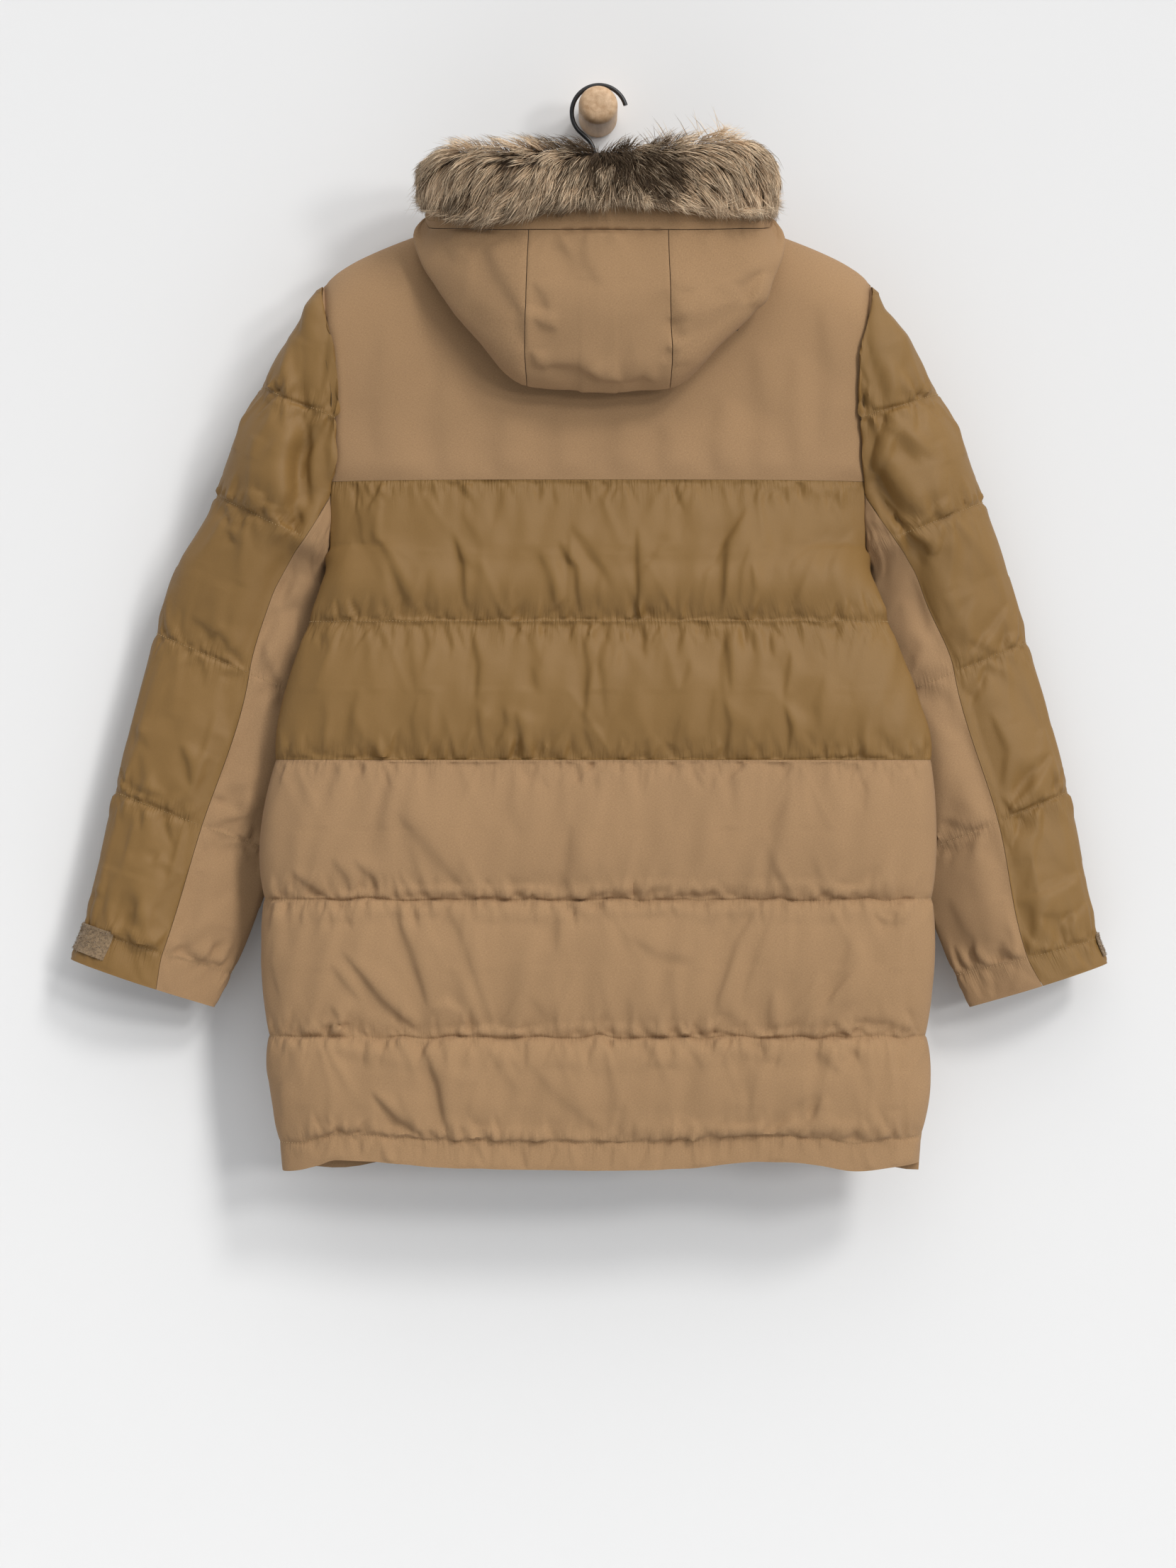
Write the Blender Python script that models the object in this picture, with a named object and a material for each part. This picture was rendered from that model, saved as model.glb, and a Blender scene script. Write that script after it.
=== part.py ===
"""Fur trimmed parka, back outwards, on a hanger whose wire hook lies over a wall peg.

One reusable part.  The mesh data are in metres with +Z up.  +X is the wearer's right,
+Y points into the wall, and the origin is the middle of the peg's back face, so the
whole part lies at y < 0.  The numbers below are millimetres, and "drop" is the depth
below the origin.  Cloth is a closed wall: a plain inside, and an outside that stands
off it by the cloth and its filling, thinnest on the lines of stitching.
"""
import math

import bmesh
import bpy
import numpy as np

MM = 0.001
SEAM_GAP = 0.18          # each sewn edge is drawn back by this, so pieces stay 0.36 apart
SHELL = 3.0              # shell, thin filling and lining, pressed flat by the stitches
YOKE_WALL = 6.0          # the yoke is filled but has no stitched lines
BACK_LOFT = 10.0         # how far a back baffle stands above its stitch lines
FRONT_LOFT = 8.0
SLEEVE_LOFT = 8.0

YOKE_DROP = 372.0        # seam between the yoke and the middle block
BLOCK_DROP = 645.0       # seam between the middle block and the lower block
UNDERARM_DROP = 438.0
HEM_STITCH_DROP = 1015.0
HEM_DROP = 1042.0
TIP_DROP = 184.0         # inside of the cloth at the shoulder tip
# The lines of stitching across the body.  The last lies below the cloth, so that the
# turned-up hem stays flat.
STITCH_DROPS = (YOKE_DROP, 510.0, BLOCK_DROP, 781.0, 915.0, HEM_STITCH_DROP, HEM_DROP + 27)

SHOULDER_Y = -66.0       # plane of the hanger and of the shoulder seams
NECK_HALF = 87.0
NECK_BACK = 38.0         # how far the neck hole reaches behind and before that plane
NECK_FRONT = 30.0
BACK_DIP = 14.0          # how far its edge dips at the back and at the front
FRONT_DIP = 37.0
SHOULDER_ROLL = 55.0     # height over which the cloth turns over the shoulder
ARMHOLE_HALF = 40.0      # widest half gap between the back and front edge of an armhole
ZIP_HALF = 15.0          # half width of the strip that the zip fills

PEG_RADIUS = 19.25
PEG_LENGTH = 86.0
WIRE_RADIUS = 2.25
HOOK_RADIUS = 27.0
BAR_RADIUS = 6.5


def table(names, *rows):
    """A dictionary of columns from rows of numbers."""
    return dict(zip(names.split(), np.array(rows, float).T))


# Inside of the body: half widths, y of the side seam, how far the back and the front
# panel stand off that seam, and the roll of the front edge.
BODY = table("drop left right seam_y back front roll",
             (184, 271, 269, -66, 42, 34, 0), (313, 260, 259, -67, 46, 34, 0),
             (383, 262, 261, -72, 46, 38, 0), (438, 263, 262, -80, 42, 44, 0),
             (455, 260, 260, -84, 38, 50, 2), (480, 268, 268, -90, 36, 56, 8),
             (507, 280, 281, -91, 34, 58, 9), (575, 299, 304, -92, 34, 60, 10),
             (645, 314, 324, -92, 34, 60, 10), (745, 325, 325, -92, 34, 60, 10),
             (900, 321, 319, -92, 34, 60, 10), (975, 314, 317, -92, 33, 58, 10),
             (1042, 307, 312, -92, 32, 56, 10))

# Inside of the shoulder line from the neck out to the tip.
SHOULDER = table("x drop", (87, 103), (172, 131), (225, 152), (251, 166), (271, 184))

# Sleeves.  "s" runs down the outer edge.  out_ is the outer edge, in_ the inner edge
# (on the armhole down to the underarm), deep half the thickness, and seam the share of
# the width, from the outer edge, where the upper sleeve meets the under sleeve.
SLEEVE_STATIONS = (0.0, 125.0, 240.0, 385.0, 539.0, 686.0)     # lines of stitching
SLEEVE_END = 713.0
SLEEVE_COLUMNS = "s out_x out_drop in_x in_drop out_y in_y deep seam"
SLEEVES = {
    "right": table(SLEEVE_COLUMNS,
                   (0, 269.6, 184, 269.6, 192, -66, -66, 23, 1.84),
                   (20, 276, 198, 267, 212, -66, -66, 38, 1.75),
                   (60, 299, 230, 264, 251, -65, -66, 44, 1.57),
                   (125, 333, 285, 259.5, 313, -63, -67, 44, 1.29),
                   (190, 360, 342, 261.5, 383, -60, -72, 40, 1),
                   (240, 378, 391, 264, 438, -57, -80, 36, 0.78),
                   (258, 385, 408, 268, 456, -56, -67, 35, 0.72),
                   (280, 392, 428, 266, 477, -54, -58, 34, 0.64),
                   (310, 400, 457, 260, 509, -52, -50, 32, 0.56),
                   (385, 422, 529, 247, 600, -48, -45, 29, 0.41),
                   (539, 463, 677, 308, 741, -46, -43, 28, 0.445),
                   (686, 493, 822, 357, 857, -45, -43, 27, 0.51),
                   (713, 503, 847, 371, 889, -45, -43, 26, 0.49)),
    "left": table(SLEEVE_COLUMNS,
                  (0, 271.6, 184, 271.6, 192, -66, -66, 23, 1.84),
                  (20, 284, 198, 268, 212, -66, -66, 38, 1.75),
                  (60, 303, 230, 265, 251, -65, -66, 44, 1.57),
                  (125, 330, 279, 260.5, 313, -63, -67, 44, 1.29),
                  (190, 358, 336, 262.5, 383, -60, -72, 40, 1),
                  (240, 375, 385, 265, 438, -57, -80, 36, 0.8),
                  (258, 383, 402, 269, 456, -56, -67, 35, 0.74),
                  (280, 394, 421, 267, 477, -54, -58, 34, 0.67),
                  (310, 410, 448, 263, 508, -52, -50, 32, 0.6),
                  (385, 435, 520, 252, 598, -48, -45, 29, 0.5),
                  (539, 476, 677, 318, 737, -46, -43, 28, 0.54),
                  (686, 508, 812, 366, 855, -45, -43, 27, 0.55),
                  (713, 521, 843, 383, 889, -45, -43, 26, 0.61)),
}

# The dropped hood by the angle from the middle of the back: the rim that carries the
# fur, the lowest line of the bag on either side, and its root at the neck.
HOOD = table("angle rim_x rim_y rim_drop low_x low_y low_left low_right root_x root_y root_drop",
             (0, 0, -186, 111, 0, -146, 288, 289, 0, -116, 119),
             (24, 67, -182, 111, 69, -145, 282, 284, 40, -113, 115),
             (45, 114, -170, 109, 119, -141, 238, 242, 68, -105, 106.5),
             (60, 140, -153, 106, 147, -134, 199, 212, 84, -96, 101),
             (75, 157, -130, 103, 164, -125, 165, 174, 94, -84, 97.5),
             (90, 164, -103, 98, 171, -108, 138, 143, 98, -70, 95.6),
             (110, 152, -72, 90, 158, -82, 114, 114, 95, -55, 95.5),
             (125, 126, -52, 83, 127, -61, 104, 104, 84, -44, 97),
             (138, 96, -40, 80, 93, -46, 101, 101, 74, -38, 103))
HOOD_END = 138.0
HOOD_SEAM = 24           # angle of the seams beside the centre panel
HOOD_WALL = 3.0
BRIM_HEIGHT = 26.0
COLLAR_HEIGHT = 55.0
COLLAR_WALL = 5.0

# The fur by the same angle: how far it hangs below the rim and stands above it on
# either side, and how far it reaches outwards.
FUR = table("angle below_left above_left below_right above_right reach",
            (0, 5, 57, 5, 57, 26), (14, 14, 57, 8, 58, 28), (35, 25, 60, 19, 69, 30),
            (60, 22, 61, 22, 73, 25), (78, 15, 50, 17, 60, 18), (90, 10, 42, 11, 50, 15),
            (108, 4, 34, 4, 40, 12), (124, 1.5, 25, 1.5, 27, 9))
FUR_END = 124.0

COLOURS = {
    "tan": (0.37, 0.23, 0.115, 0.9), "olive": (0.27, 0.16, 0.06, 0.5),
    "fur": (0.16, 0.105, 0.065, 0.95), "patch": (0.33, 0.22, 0.13, 1.0),
    "metal": (0.02, 0.02, 0.02, 0.4), "wood": (0.64, 0.42, 0.26, 0.6),
    "tape": (0.05, 0.04, 0.03, 0.8), "bar": (0.03, 0.03, 0.03, 0.5),
}


def smooth(at, xs, ys):
    """Cubic through the points (xs, ys) that never swings past them."""
    at = np.clip(np.asarray(at, float), xs[0], xs[-1])
    step = np.diff(xs)
    rise = np.diff(ys) / step
    slope = np.zeros_like(ys)
    pair = rise[:-1] * rise[1:]
    total = np.where(pair > 0, rise[:-1] + rise[1:], 1.0)
    slope[1:-1] = np.where(pair > 0, 2 * pair / total, 0.0)
    slope[0], slope[-1] = rise[0], rise[-1]
    i = np.clip(np.searchsorted(xs, at, side="right") - 1, 0, len(step) - 1)
    u = (at - xs[i]) / step[i]
    return (ys[i] * (1 + 2 * u) * (1 - u) ** 2 + ys[i + 1] * u * u * (3 - 2 * u)
            + step[i] * (slope[i] * u * (1 - u) ** 2 + slope[i + 1] * u * u * (u - 1)))


def read(tab, name, at):
    """Smooth value of one column of a table, by its first column."""
    key = next(iter(tab))
    return smooth(at, tab[key], tab[name])


def ease(value):
    """0 below 0, 1 above 1, and a soft step between them."""
    value = np.clip(value, 0.0, 1.0)
    return value * value * (3 - 2 * value)


def loft_between(at, lines):
    """0 on each line of stitching, 1 half way between two of them."""
    lines = np.asarray(lines, float)
    i = np.clip(np.searchsorted(lines, at, side="right") - 1, 0, len(lines) - 2)
    share = np.clip((at - lines[i]) / (lines[i + 1] - lines[i]), 0, 1)
    return np.maximum(1 - np.abs(2 * share - 1) ** 2.2, 0) ** 0.8


# ---------------------------------------------------------------- meshes

def material(colour):
    found = bpy.data.materials.get(colour)
    if found:
        return found
    made = bpy.data.materials.new(colour)
    made.use_nodes = True
    red, green, blue, rough = COLOURS[colour]
    shader = made.node_tree.nodes["Principled BSDF"]
    shader.inputs["Base Color"].default_value = (red, green, blue, 1)
    shader.inputs["Roughness"].default_value = rough
    made.diffuse_color = (red, green, blue, 1)
    return made


def place(name, bm, colour):
    """Turn a bmesh in millimetres into an object in metres."""
    bmesh.ops.recalc_face_normals(bm, faces=bm.faces)
    bmesh.ops.scale(bm, vec=(MM, MM, MM), verts=bm.verts)
    mesh = bpy.data.meshes.new(name)
    bm.to_mesh(mesh)
    bm.free()
    obj = bpy.data.objects.new(name, mesh)
    bpy.context.scene.collection.objects.link(obj)
    mesh.materials.append(material(colour))
    return obj


def cloth_wall(name, inside, outside, colour):
    """Closed wall between two grids of points: a sheet, extruded to its other side."""
    rows, columns = inside.shape[:2]
    bm = bmesh.new()
    bmesh.ops.create_grid(bm, x_segments=columns - 1, y_segments=rows - 1, size=1)
    seats = {}
    for vert in bm.verts:
        column = round((vert.co.x + 1) / 2 * (columns - 1))
        row = round((vert.co.y + 1) / 2 * (rows - 1))
        seats[vert] = (row, column)
        vert.co = inside[row, column]
    where = {tuple(np.round(inside[seat], 6)): seat for seat in seats.values()}
    made = bmesh.ops.extrude_face_region(bm, geom=bm.faces[:], use_keep_orig=True)
    for vert in (item for item in made["geom"] if isinstance(item, bmesh.types.BMVert)):
        seat = min(where, key=lambda point: sum((a - b) ** 2 for a, b in zip(point, vert.co)))
        vert.co = outside[where[seat]]
    return place(name, bm, colour)


def loft(name, sections, colour):
    """Solid through closed sections, capped at both ends."""
    bm = bmesh.new()
    rings = [[bm.verts.new(point) for point in section] for section in sections]
    for low, high in zip(rings, rings[1:]):
        for i in range(len(low)):
            j = (i + 1) % len(low)
            bm.faces.new((low[i], low[j], high[j], high[i]))
    bm.faces.new(rings[0])
    bm.faces.new(rings[-1])
    return place(name, bm, colour)


def draw_back(grids, edges, gap=SEAM_GAP):
    """Draw the named edges of both faces of a wall back by the seam gap."""
    for grid in grids:
        for edge in edges:
            border, following = {"top": (grid[0], grid[1]), "bottom": (grid[-1], grid[-2]),
                                 "first": (grid[:, 0], grid[:, 1]),
                                 "last": (grid[:, -1], grid[:, -2])}[edge]
            step = following - border
            border += gap * step / np.linalg.norm(step, axis=-1, keepdims=True)


def normals(grid, facing):
    """Unit normals of a grid of points, all on the side that the middle one faces."""
    normal = np.cross(np.gradient(grid, axis=1), np.gradient(grid, axis=0))
    normal /= np.linalg.norm(normal, axis=-1, keepdims=True)
    middle = normal[normal.shape[0] // 2, normal.shape[1] // 2]
    return normal if np.dot(middle, facing) > 0 else -normal


# ---------------------------------------------------------------- body

def half_width(side, drop):
    return read(BODY, side, drop)


def armhole_gap(drop):
    """Half gap between the back and the front edge of an armhole."""
    share = np.clip((np.asarray(drop, float) - TIP_DROP) / (UNDERARM_DROP - TIP_DROP), 0, 1)
    return ARMHOLE_HALF * np.maximum(np.sin(math.pi * share ** 0.55), 0) ** 0.75


def neck_bow(x):
    """1 at the middle of the neck hole, 0 at its sides and beyond."""
    return np.sqrt(np.maximum(1 - (x / NECK_HALF) ** 2, 0))


def top_drop(x, neck_dip):
    """Top edge of the yoke: the shoulder line, then the dip of the neck hole."""
    return read(SHOULDER, "drop", np.abs(x)) + neck_dip * neck_bow(x) ** 2


def yoke_place(share, down, dip):
    """x and drop of a point of the yoke, from its share of the width and its row."""
    edge_drop = TIP_DROP + (YOKE_DROP - TIP_DROP) * down
    x = np.where(share < 0, share * half_width("left", edge_drop),
                 share * half_width("right", edge_drop))
    high = top_drop(x, dip)
    return x, high + (YOKE_DROP - high) * down, edge_drop


def turned_over(high_y, full_y, below):
    """Depth of cloth that turns over the shoulder, "below" the shoulder line."""
    roll = np.clip(below / SHOULDER_ROLL, 0, 1)
    return high_y + (full_y - high_y) * np.sqrt(1 - (1 - roll) ** 2)


def back_y(share, edge_drop):
    """Depth of the back panel's inside."""
    seam, deep = read(BODY, "seam_y", edge_drop), read(BODY, "back", edge_drop)
    gap = armhole_gap(edge_drop)
    closed = ease((edge_drop - UNDERARM_DROP + 12) / 40)
    soft = 1 - np.abs(share) ** 4
    round_ = np.sqrt(np.maximum(1 - np.abs(share) ** 6, 0))
    return seam - gap - (deep - gap) * (soft * (1 - closed) + round_ * closed)


def front_y(share, edge_drop):
    """Depth of the front panel's inside: recessed beside the sleeves, full before."""
    seam, deep = read(BODY, "seam_y", edge_drop), read(BODY, "front", edge_drop)
    side = np.abs(share)
    roll = read(BODY, "roll", edge_drop) * np.sqrt(np.maximum(1 - side ** 6, 0))
    edge = seam + armhole_gap(edge_drop) + roll
    return edge + (seam + deep - edge) * ease((0.80 - side) / 0.45)


def yoke_back(share, down):
    x, drop, edge_drop = yoke_place(share, down, BACK_DIP)
    high_y = SHOULDER_Y - NECK_BACK * neck_bow(x)
    y = turned_over(high_y, back_y(share, edge_drop), drop - top_drop(x, BACK_DIP))
    y = np.where(np.abs(share) >= 1, back_y(share, edge_drop), y)
    return np.stack([x, y, -drop], axis=-1)


def yoke_front(share, down):
    x, drop, edge_drop = yoke_place(share, down, FRONT_DIP)
    high_y = SHOULDER_Y + NECK_FRONT * neck_bow(x)
    y = turned_over(high_y, front_y(share, edge_drop), drop - top_drop(x, FRONT_DIP))
    y = np.where(np.abs(share) >= 1, front_y(share, edge_drop), y)
    return np.stack([x, y, -drop], axis=-1)


def body_panel(depth):
    """Surface of a block below the yoke, by share of the width and drop."""
    def point(share, drop):
        x = np.where(share < 0, share * half_width("left", drop),
                     share * half_width("right", drop))
        return np.stack([x, depth(share, drop), -drop], axis=-1)
    return point


def edge_normals(normal, share, drop, outward_y):
    """Turn the normals of the side edges so that neighbouring walls never cross."""
    at_side = np.abs(share) >= 0.9999
    armhole = at_side & (drop <= UNDERARM_DROP + 0.1)
    flat = normal.copy()
    flat[..., 0] = 0
    flat[..., 1] = np.where(flat[..., 1] * outward_y > 0.05, flat[..., 1], 0.05 * outward_y)
    flat /= np.linalg.norm(flat, axis=-1, keepdims=True)
    normal[armhole] = flat[armhole]
    side = at_side & ~armhole
    normal[side] = np.stack([np.sign(share), 0 * share, 0 * share], axis=-1)[side]
    return normal


def meet_armhole(outside, share, drop):
    """Put the outer edge of an armhole on the same line as its inner edge."""
    for side, at_edge in (("left", share <= -0.9999), ("right", share >= 0.9999)):
        edge = at_edge & (drop <= UNDERARM_DROP + 0.1)
        sign = -1 if side == "left" else 1
        limit = half_width(side, -outside[..., 2])
        outside[edge, 0] = sign * limit[edge]
        over = (drop <= UNDERARM_DROP + 0.1) & (outside[..., 0] * sign > limit)
        outside[over, 0] = sign * limit[over]
    return outside


# Folds in the back that are deeper than the stitching: where, how long and wide, how
# far they lean from upright, and how far they stand out or sink in.
FOLDS = table("x drop length width lean rise",
              (-150, 560, 150, 22, 8, 3.5), (60, 450, 120, 18, -6, 3.0),
              (175, 580, 130, 20, -10, 3.5), (-190, 760, 200, 30, 24, 4.0),
              (120, 830, 220, 34, -28, 4.0), (-40, 880, 190, 30, 18, -2.5),
              (215, 950, 130, 24, -20, 3.0), (-90, 980, 110, 26, 30, 2.5))


def folds(x, drop):
    total = np.zeros(np.broadcast(x, drop).shape)
    for i in range(len(FOLDS["x"])):
        lean = math.radians(FOLDS["lean"][i])
        dx, dz = x - FOLDS["x"][i], drop - FOLDS["drop"][i]
        across = dx * math.cos(lean) + dz * math.sin(lean)
        along = dz * math.cos(lean) - dx * math.sin(lean)
        total += FOLDS["rise"][i] * np.exp(-(across / FOLDS["width"][i]) ** 2
                                           - (2 * along / FOLDS["length"][i]) ** 2)
    return total


def panel(name, surface, facing, share, down, drop, colour, thick):
    """Wall of cloth on one of the body's surfaces, facing backwards (-1) or forwards."""
    inside = surface(share, down)
    normal = edge_normals(normals(inside, (0, facing, 0)), share, drop, facing)
    if facing > 0:                                      # the edge beside the zip
        normal[np.abs(share) == np.abs(share).min()] = (0, 1, 0)
    if surface in (yoke_back, yoke_front):              # the shoulder seam and the neck
        normal[0] = (0, 0, 1)
    outside = meet_armhole(inside + normal * thick[..., None], share, drop)
    hem = drop.max() >= HEM_DROP
    draw_back((inside, outside), ("top", "first", "last") + (() if hem else ("bottom",)))
    cloth_wall(name, inside, outside, colour)


def build_body():
    yoke_rows = np.array([0, .03, .08, .16, .28, .45, .65, .85, .96, 1])
    blocks = (("middle", "olive", np.array([372, 384, 408, 438, 455, 480, 510, 521, 557, 597,
                                            634, 645.0])),
              ("lower", "tan", np.array([645, 656, 690, 736, 770, 781, 792, 824, 872, 904, 915,
                                         926, 956, 996, 1015, 1024, 1042.0])))

    fine = np.array([0, .12, .23, NECK_HALF / 270, .45, .58, .7, .81, .9, .96, .988, 1])
    back_share = np.concatenate([-fine[:0:-1], fine])
    share, down = np.meshgrid(back_share, yoke_rows)
    thick = np.where(down >= 1, SHELL + 1, YOKE_WALL)
    panel("back_yoke", yoke_back, -1, share, down, yoke_place(share, down, BACK_DIP)[2], "tan",
          thick)
    for name, colour, rows in blocks:
        share, drop = np.meshgrid(back_share, rows)
        surface = body_panel(back_y)
        rise = loft_between(drop, STITCH_DROPS) * (1 - 0.75 * np.abs(share) ** 8)
        rise *= np.where(drop > HEM_STITCH_DROP, 0.1, 1)
        thick = SHELL + BACK_LOFT * rise + (folds(surface(share, drop)[..., 0], drop)
                                            * np.minimum(rise * 1.5, 1))
        panel("back_" + name, surface, -1, share, drop, drop, colour, thick)

    first = ZIP_HALF / 270
    half = first + (1 - first) * np.array([0, .12, (NECK_HALF - ZIP_HALF) / (270 - ZIP_HALF),
                                           .42, .54, .66, .77, .88, .96, .988, 1])
    for side, sign in (("left", -1), ("right", 1)):
        share, down = np.meshgrid(sign * half, yoke_rows)
        thick = np.where(down >= 1, SHELL + 1, YOKE_WALL)
        panel("front_yoke_" + side, yoke_front, 1, share, down,
              yoke_place(share, down, FRONT_DIP)[2], "tan", thick)
        for name, colour, rows in blocks:
            share, drop = np.meshgrid(sign * half, rows)
            rise = loft_between(drop, STITCH_DROPS)
            rise *= 0.15 + 0.85 * ease((0.85 - np.abs(share)) / 0.3)
            rise *= ease((np.abs(share) - first) / 0.08 + 0.25)
            rise *= np.where(drop > HEM_STITCH_DROP, 0.1, 1)
            panel("front_" + name + "_" + side, body_panel(front_y), 1, share, drop, drop,
                  colour, SHELL + FRONT_LOFT * rise)


# ---------------------------------------------------------------- sleeves

def sleeve_reach(side, s):
    """Angle round the sleeve, from its outer edge, at which it meets the armhole."""
    deep = read(SLEEVES[side], "deep", s)
    gap = armhole_gap(read(SLEEVES[side], "in_drop", s))
    open_ = math.pi - np.arcsin(np.clip(gap / deep, 0, 1))
    return np.where(np.asarray(s) < SLEEVE_STATIONS[2], open_, math.pi)


def sleeve_seam(side, s):
    """Angle at which the upper sleeve meets the under sleeve or the armhole."""
    reach = sleeve_reach(side, s)
    share = read(SLEEVES[side], "seam", s)
    level = 1 - share * (1 - np.cos(reach))
    return np.where(share >= 1, reach, np.arccos(np.clip(level, -1, 1)))


def sleeve_point(side):
    """Inside of a sleeve, by angle from the outer edge (back is +) and distance s."""
    def point(angle, s):
        tab = SLEEVES[side]
        reach = sleeve_reach(side, s)
        out = (np.cos(angle) - np.cos(reach)) / (1 - np.cos(reach))
        x = read(tab, "in_x", s) + (read(tab, "out_x", s) - read(tab, "in_x", s)) * out
        drop = (read(tab, "in_drop", s)
                + (read(tab, "out_drop", s) - read(tab, "in_drop", s)) * out)
        middle = read(tab, "in_y", s) + (read(tab, "out_y", s) - read(tab, "in_y", s)) * out
        lean = ease((s - SLEEVE_STATIONS[2]) / 40)
        narrow = 1 - lean * 0.5 * (1 - ease(out / 0.55))
        y = middle - read(tab, "deep", s) * np.sin(angle) * narrow
        x = x if side == "right" else -x
        return np.stack([x, y, -drop], axis=-1)
    return point


def sleeve_thickness(side, angle, s):
    """Cloth and filling: full between the stitches, flat at the seams and the cuff."""
    rise = loft_between(s, SLEEVE_STATIONS + (SLEEVE_END + 27,))
    rise *= 0.25 + 0.75 * np.sin(angle) ** 2
    rise *= 1 - 0.8 * np.exp(-((s - 250) / 60) ** 2) * ease((np.abs(angle) - 1.3) / 0.9)
    rise *= np.where(s > SLEEVE_STATIONS[5], 0.12, 1) * (1 - 0.7 * np.exp(-s / 25))
    from_seam = (np.abs(angle) - sleeve_seam(side, s)) / 0.22
    rise *= 1 - 0.85 * np.exp(-from_seam ** 2) * ease((s - 170) / 20)
    return SHELL + SLEEVE_LOFT * rise + 3 * np.exp(-s / 20)


def sleeve_grids(side, angle, s):
    point = sleeve_point(side)
    sign = 1 if side == "right" else -1
    inside = point(angle, s)
    e = 0.01
    u = point(angle + e, s) - point(angle - e, s)
    v = (point(angle, np.minimum(s + 1.0, SLEEVE_END))
         - point(angle, np.maximum(s - 1.0, 0.0)))
    normal = np.cross(u, v) * sign
    normal /= np.linalg.norm(normal, axis=-1, keepdims=True)
    reach = sleeve_reach(side, s)
    at_hole = (np.abs(angle) > reach - 0.01) & (s < SLEEVE_STATIONS[2] - 0.5)
    at_hole |= s < 0.5
    normal[at_hole, 0] = 0
    normal /= np.linalg.norm(normal, axis=-1, keepdims=True)
    crotch = (np.abs(angle) > math.pi - 0.02) & (np.abs(s - SLEEVE_STATIONS[2]) < 1)
    normal[crotch] = (0.35 * sign, 0, -0.94)
    outside = inside + normal * sleeve_thickness(side, angle, s)[..., None]
    for grid in (inside, outside):
        limit = half_width(side, -grid[..., 2]) + 0.15
        at_hole |= (s < SLEEVE_STATIONS[2] - 0.5) & (grid[..., 0] * sign < limit)
        grid[at_hole, 0] = sign * limit[at_hole]
    return [inside, outside]


def armhole_row(side, share):
    """Distance s at which a line of the under sleeve leaves the armhole."""
    low, high = 150.0, SLEEVE_STATIONS[2]
    for _ in range(40):
        s = (low + high) / 2
        seam = float(sleeve_seam(side, s))
        angle = seam + (1 - abs(share)) * (math.pi - seam)
        if angle > float(sleeve_reach(side, s)) - 1e-4:
            low = s
        else:
            high = s
    return high


def build_sleeves():
    for side in ("right", "left"):
        junction = 190.0
        under_rows = np.array([0, .12, .26, .4, .54, .7, .9, 1])
        lower_rows = np.array([395, 425, 495, 529, 539, 549, 585, 640, 677, 686, 694, 713.0])
        first_rows = np.array([0, 10, 24, 45, 80, 115, 125, 135, 160, 190.0])
        s_rows = np.concatenate([first_rows,
                                 junction + (385 - junction) * under_rows[1:], lower_rows])
        share, s = np.meshgrid(np.array([-1, -.9, -.7, -.46, -.24, -.07, .07, .24, .46, .7,
                                         .9, 1]), s_rows)
        grids = sleeve_grids(side, sleeve_seam(side, s) * share, s)
        draw_back(grids, ("top", "first", "last"), 0.22)
        for grid in grids:
            grid[..., 0] += (0.2 if side == "right" else -0.2)
            for row in np.flatnonzero((s_rows > 189) & (s_rows < 216)):
                for edge, following in ((0, 1), (-1, -2)):      # beside the sharp corners
                    step = grid[row, following] - grid[row, edge]
                    grid[row, edge] += 0.6 * step / np.linalg.norm(step)
        cloth_wall("sleeve_upper_" + side, grids[0], grids[1], "olive")

        share = np.array([-1, -.8, -.5, -.2, 0, .2, .5, .8, 1])
        starts = np.array([junction if abs(c) == 1 else armhole_row(side, c) for c in share])
        starts[len(share) // 2] = SLEEVE_STATIONS[2]
        blocks = [starts + (385 - starts) * r for r in under_rows]
        blocks += [np.full(len(share), row) for row in lower_rows]
        s = np.array(blocks)
        seam = sleeve_seam(side, s)
        share = np.broadcast_to(share, s.shape)
        angle = np.where(share < 0, seam + (1 + share) * (math.pi - seam),
                         2 * math.pi - seam - (1 - share) * (math.pi - seam))
        signed = np.where(share <= 0, angle, angle - 2 * math.pi)
        signed = np.where(share == 0, math.pi, signed)
        grids = sleeve_grids(side, signed, s)
        draw_back(grids, ("top", "first", "last"), 0.22)
        for grid in grids:
            grid[..., 0] += (0.2 if side == "right" else -0.2)
            for corner in (0, -1):      # the sharp corners where three pieces meet
                step = grid[1, corner] - grid[0, corner]
                grid[0, corner] += 3.0 * step / np.linalg.norm(step)
        cloth_wall("sleeve_under_" + side, grids[0], grids[1], "tan")

        # hook-and-loop patch of the cuff strap
        low, high = (-0.95, 0.25) if side == "right" else (-0.3, 0.95)
        angle, s = np.meshgrid(np.linspace(low, high, 7), np.array([681, 688, 696, 705.0]))
        grids = sleeve_grids(side, angle, s)
        outward = (grids[1] - grids[0]) / np.linalg.norm(grids[1] - grids[0], axis=-1,
                                                         keepdims=True)
        cloth_wall("cuff_patch_" + side, grids[1] + outward * 1.2, grids[1] + outward * 3.0,
                   "patch")


# ---------------------------------------------------------------- hood and collar

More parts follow.
